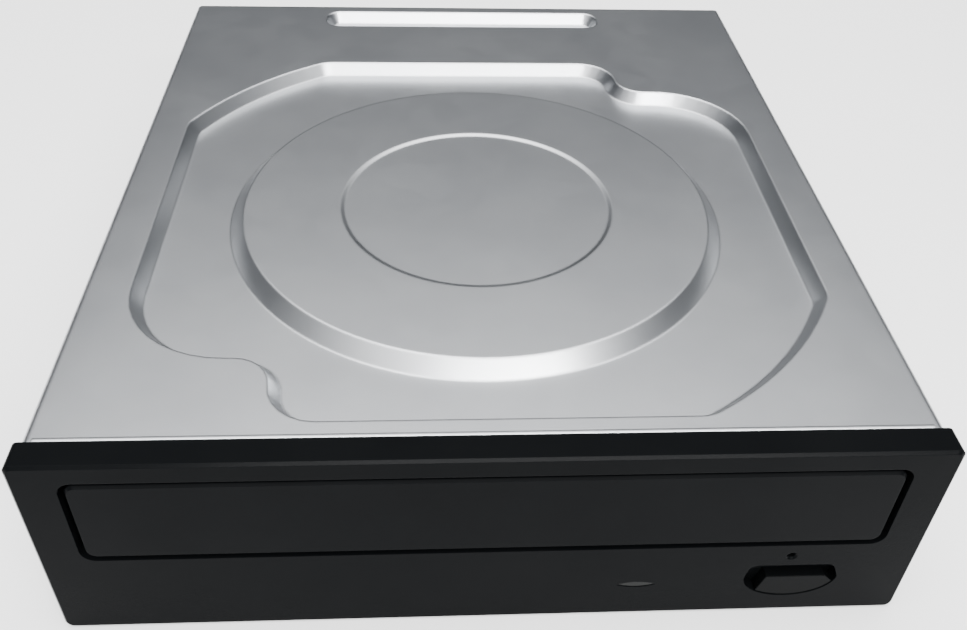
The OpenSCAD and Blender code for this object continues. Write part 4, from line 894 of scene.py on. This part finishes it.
@dataclass
class Studio:
    """Floor, sky, lamps and camera.

    Attributes:
        floor_half: half the floor's width, in metres.
        camera_place: where the photograph was taken from, in metres.
        camera_turn: the camera's turn about X, Y and Z, in radians.
        lens_mm: its focal length.
        sensor_mm: width of its sensor.
        near: the nearest distance that it sees, in metres.
        sky_up: direction towards the brightest sky, leaning a little to the front.
        sky_strength: brightness of the sky.
        sky_stops: colour of the sky from the horizon up, by the sine of the height.
        lamps: the soft lamps.
    """

    floor_half: float = 3.0
    camera_place: Triple = (-0.010487, -0.185052, 0.157398)
    camera_turn: Triple = (0.8668, -0.0300, -0.0487)
    lens_mm: float = 37.22
    sensor_mm: float = 36.0
    near: float = 0.005
    sky_up: Triple = (0.0, -0.1, 0.995)
    sky_strength: float = 5.0
    sky_stops: tuple[tuple[float, str], ...] = (
        (0.20, "#191b1d"), (0.40, "#27282b"), (0.49, "#424446"), (0.57, "#696a6b"), (0.68, "#959596"),
        (0.80, "#e7e7e7"), (1.0, "#ffffff"),
    )
    lamps: tuple[Softbox, ...] = (
        Softbox("overhead_softbox", (0.0, -0.15, 1.0), (0.0, -0.02, 0.0), (0.8, 0.6), 6.0),
        Softbox("front_strip", (0.16, -0.80, 0.67), (0.0, -0.084, 0.042), (0.88, 0.06), 15.0),
    )

    def floor(self) -> None:
        """Lays the pale floor under the part."""
        mesh = bmesh.new()
        bmesh.ops.create_grid(mesh, x_segments=1, y_segments=1, size=self.floor_half)
        ground = finished(mesh, "studio_floor", PAPER)
        if ground.data.polygons[0].normal.z < 0:
            ground.data.flip_normals()

    def sky(self) -> None:
        """Makes a sky like a light tent's: bright overhead and dark towards the horizon."""
        world = bpy.data.worlds.new("pale studio")
        bpy.context.scene.world = world
        world.use_nodes = True
        tree = world.node_tree
        tree.nodes.clear()
        where = add(tree, "ShaderNodeTexCoord").outputs["Generated"]
        height = add(tree, "ShaderNodeVectorMath", {0: where, 1: self.sky_up}, operation="DOT_PRODUCT")
        band = add(tree, "ShaderNodeValToRGB", {"Fac": height.outputs["Value"]}, stops=self.sky_stops)
        glow = add(tree, "ShaderNodeBackground", {
            "Color": band.outputs["Color"], "Strength": self.sky_strength,
        })
        add(tree, "ShaderNodeOutputWorld", {"Surface": glow.outputs[0]})

    def camera(self) -> None:
        """Puts the camera where the photograph was taken."""
        data = bpy.data.cameras.new("photo_camera")
        data.lens = self.lens_mm
        data.sensor_fit = "HORIZONTAL"
        data.sensor_width = self.sensor_mm
        data.clip_start = self.near
        made = bpy.data.objects.new("photo_camera", data)
        made.location = self.camera_place
        made.rotation_euler = self.camera_turn
        bpy.context.scene.collection.objects.link(made)
        bpy.context.scene.camera = made

    def build(self) -> None:
        """Sets the whole studio up."""
        self.camera()
        self.floor()
        self.sky()
        for lamp in self.lamps:
            lamp.hang()
            LOG.info("hung %s", lamp.name)


def main() -> None:
    """Builds the studio and every sub-assembly in order."""
    logging.basicConfig(level=logging.INFO, format="%(message)s")
    Studio().build()
    units = (CaseShell(), FrontPanel(), TrayUnit(), LoadingDrive(), DeckUnit(), ClampUnit(), Electronics())
    for unit in units:
        unit.build()
        unit.dress()


if __name__ == "__main__":
    main()
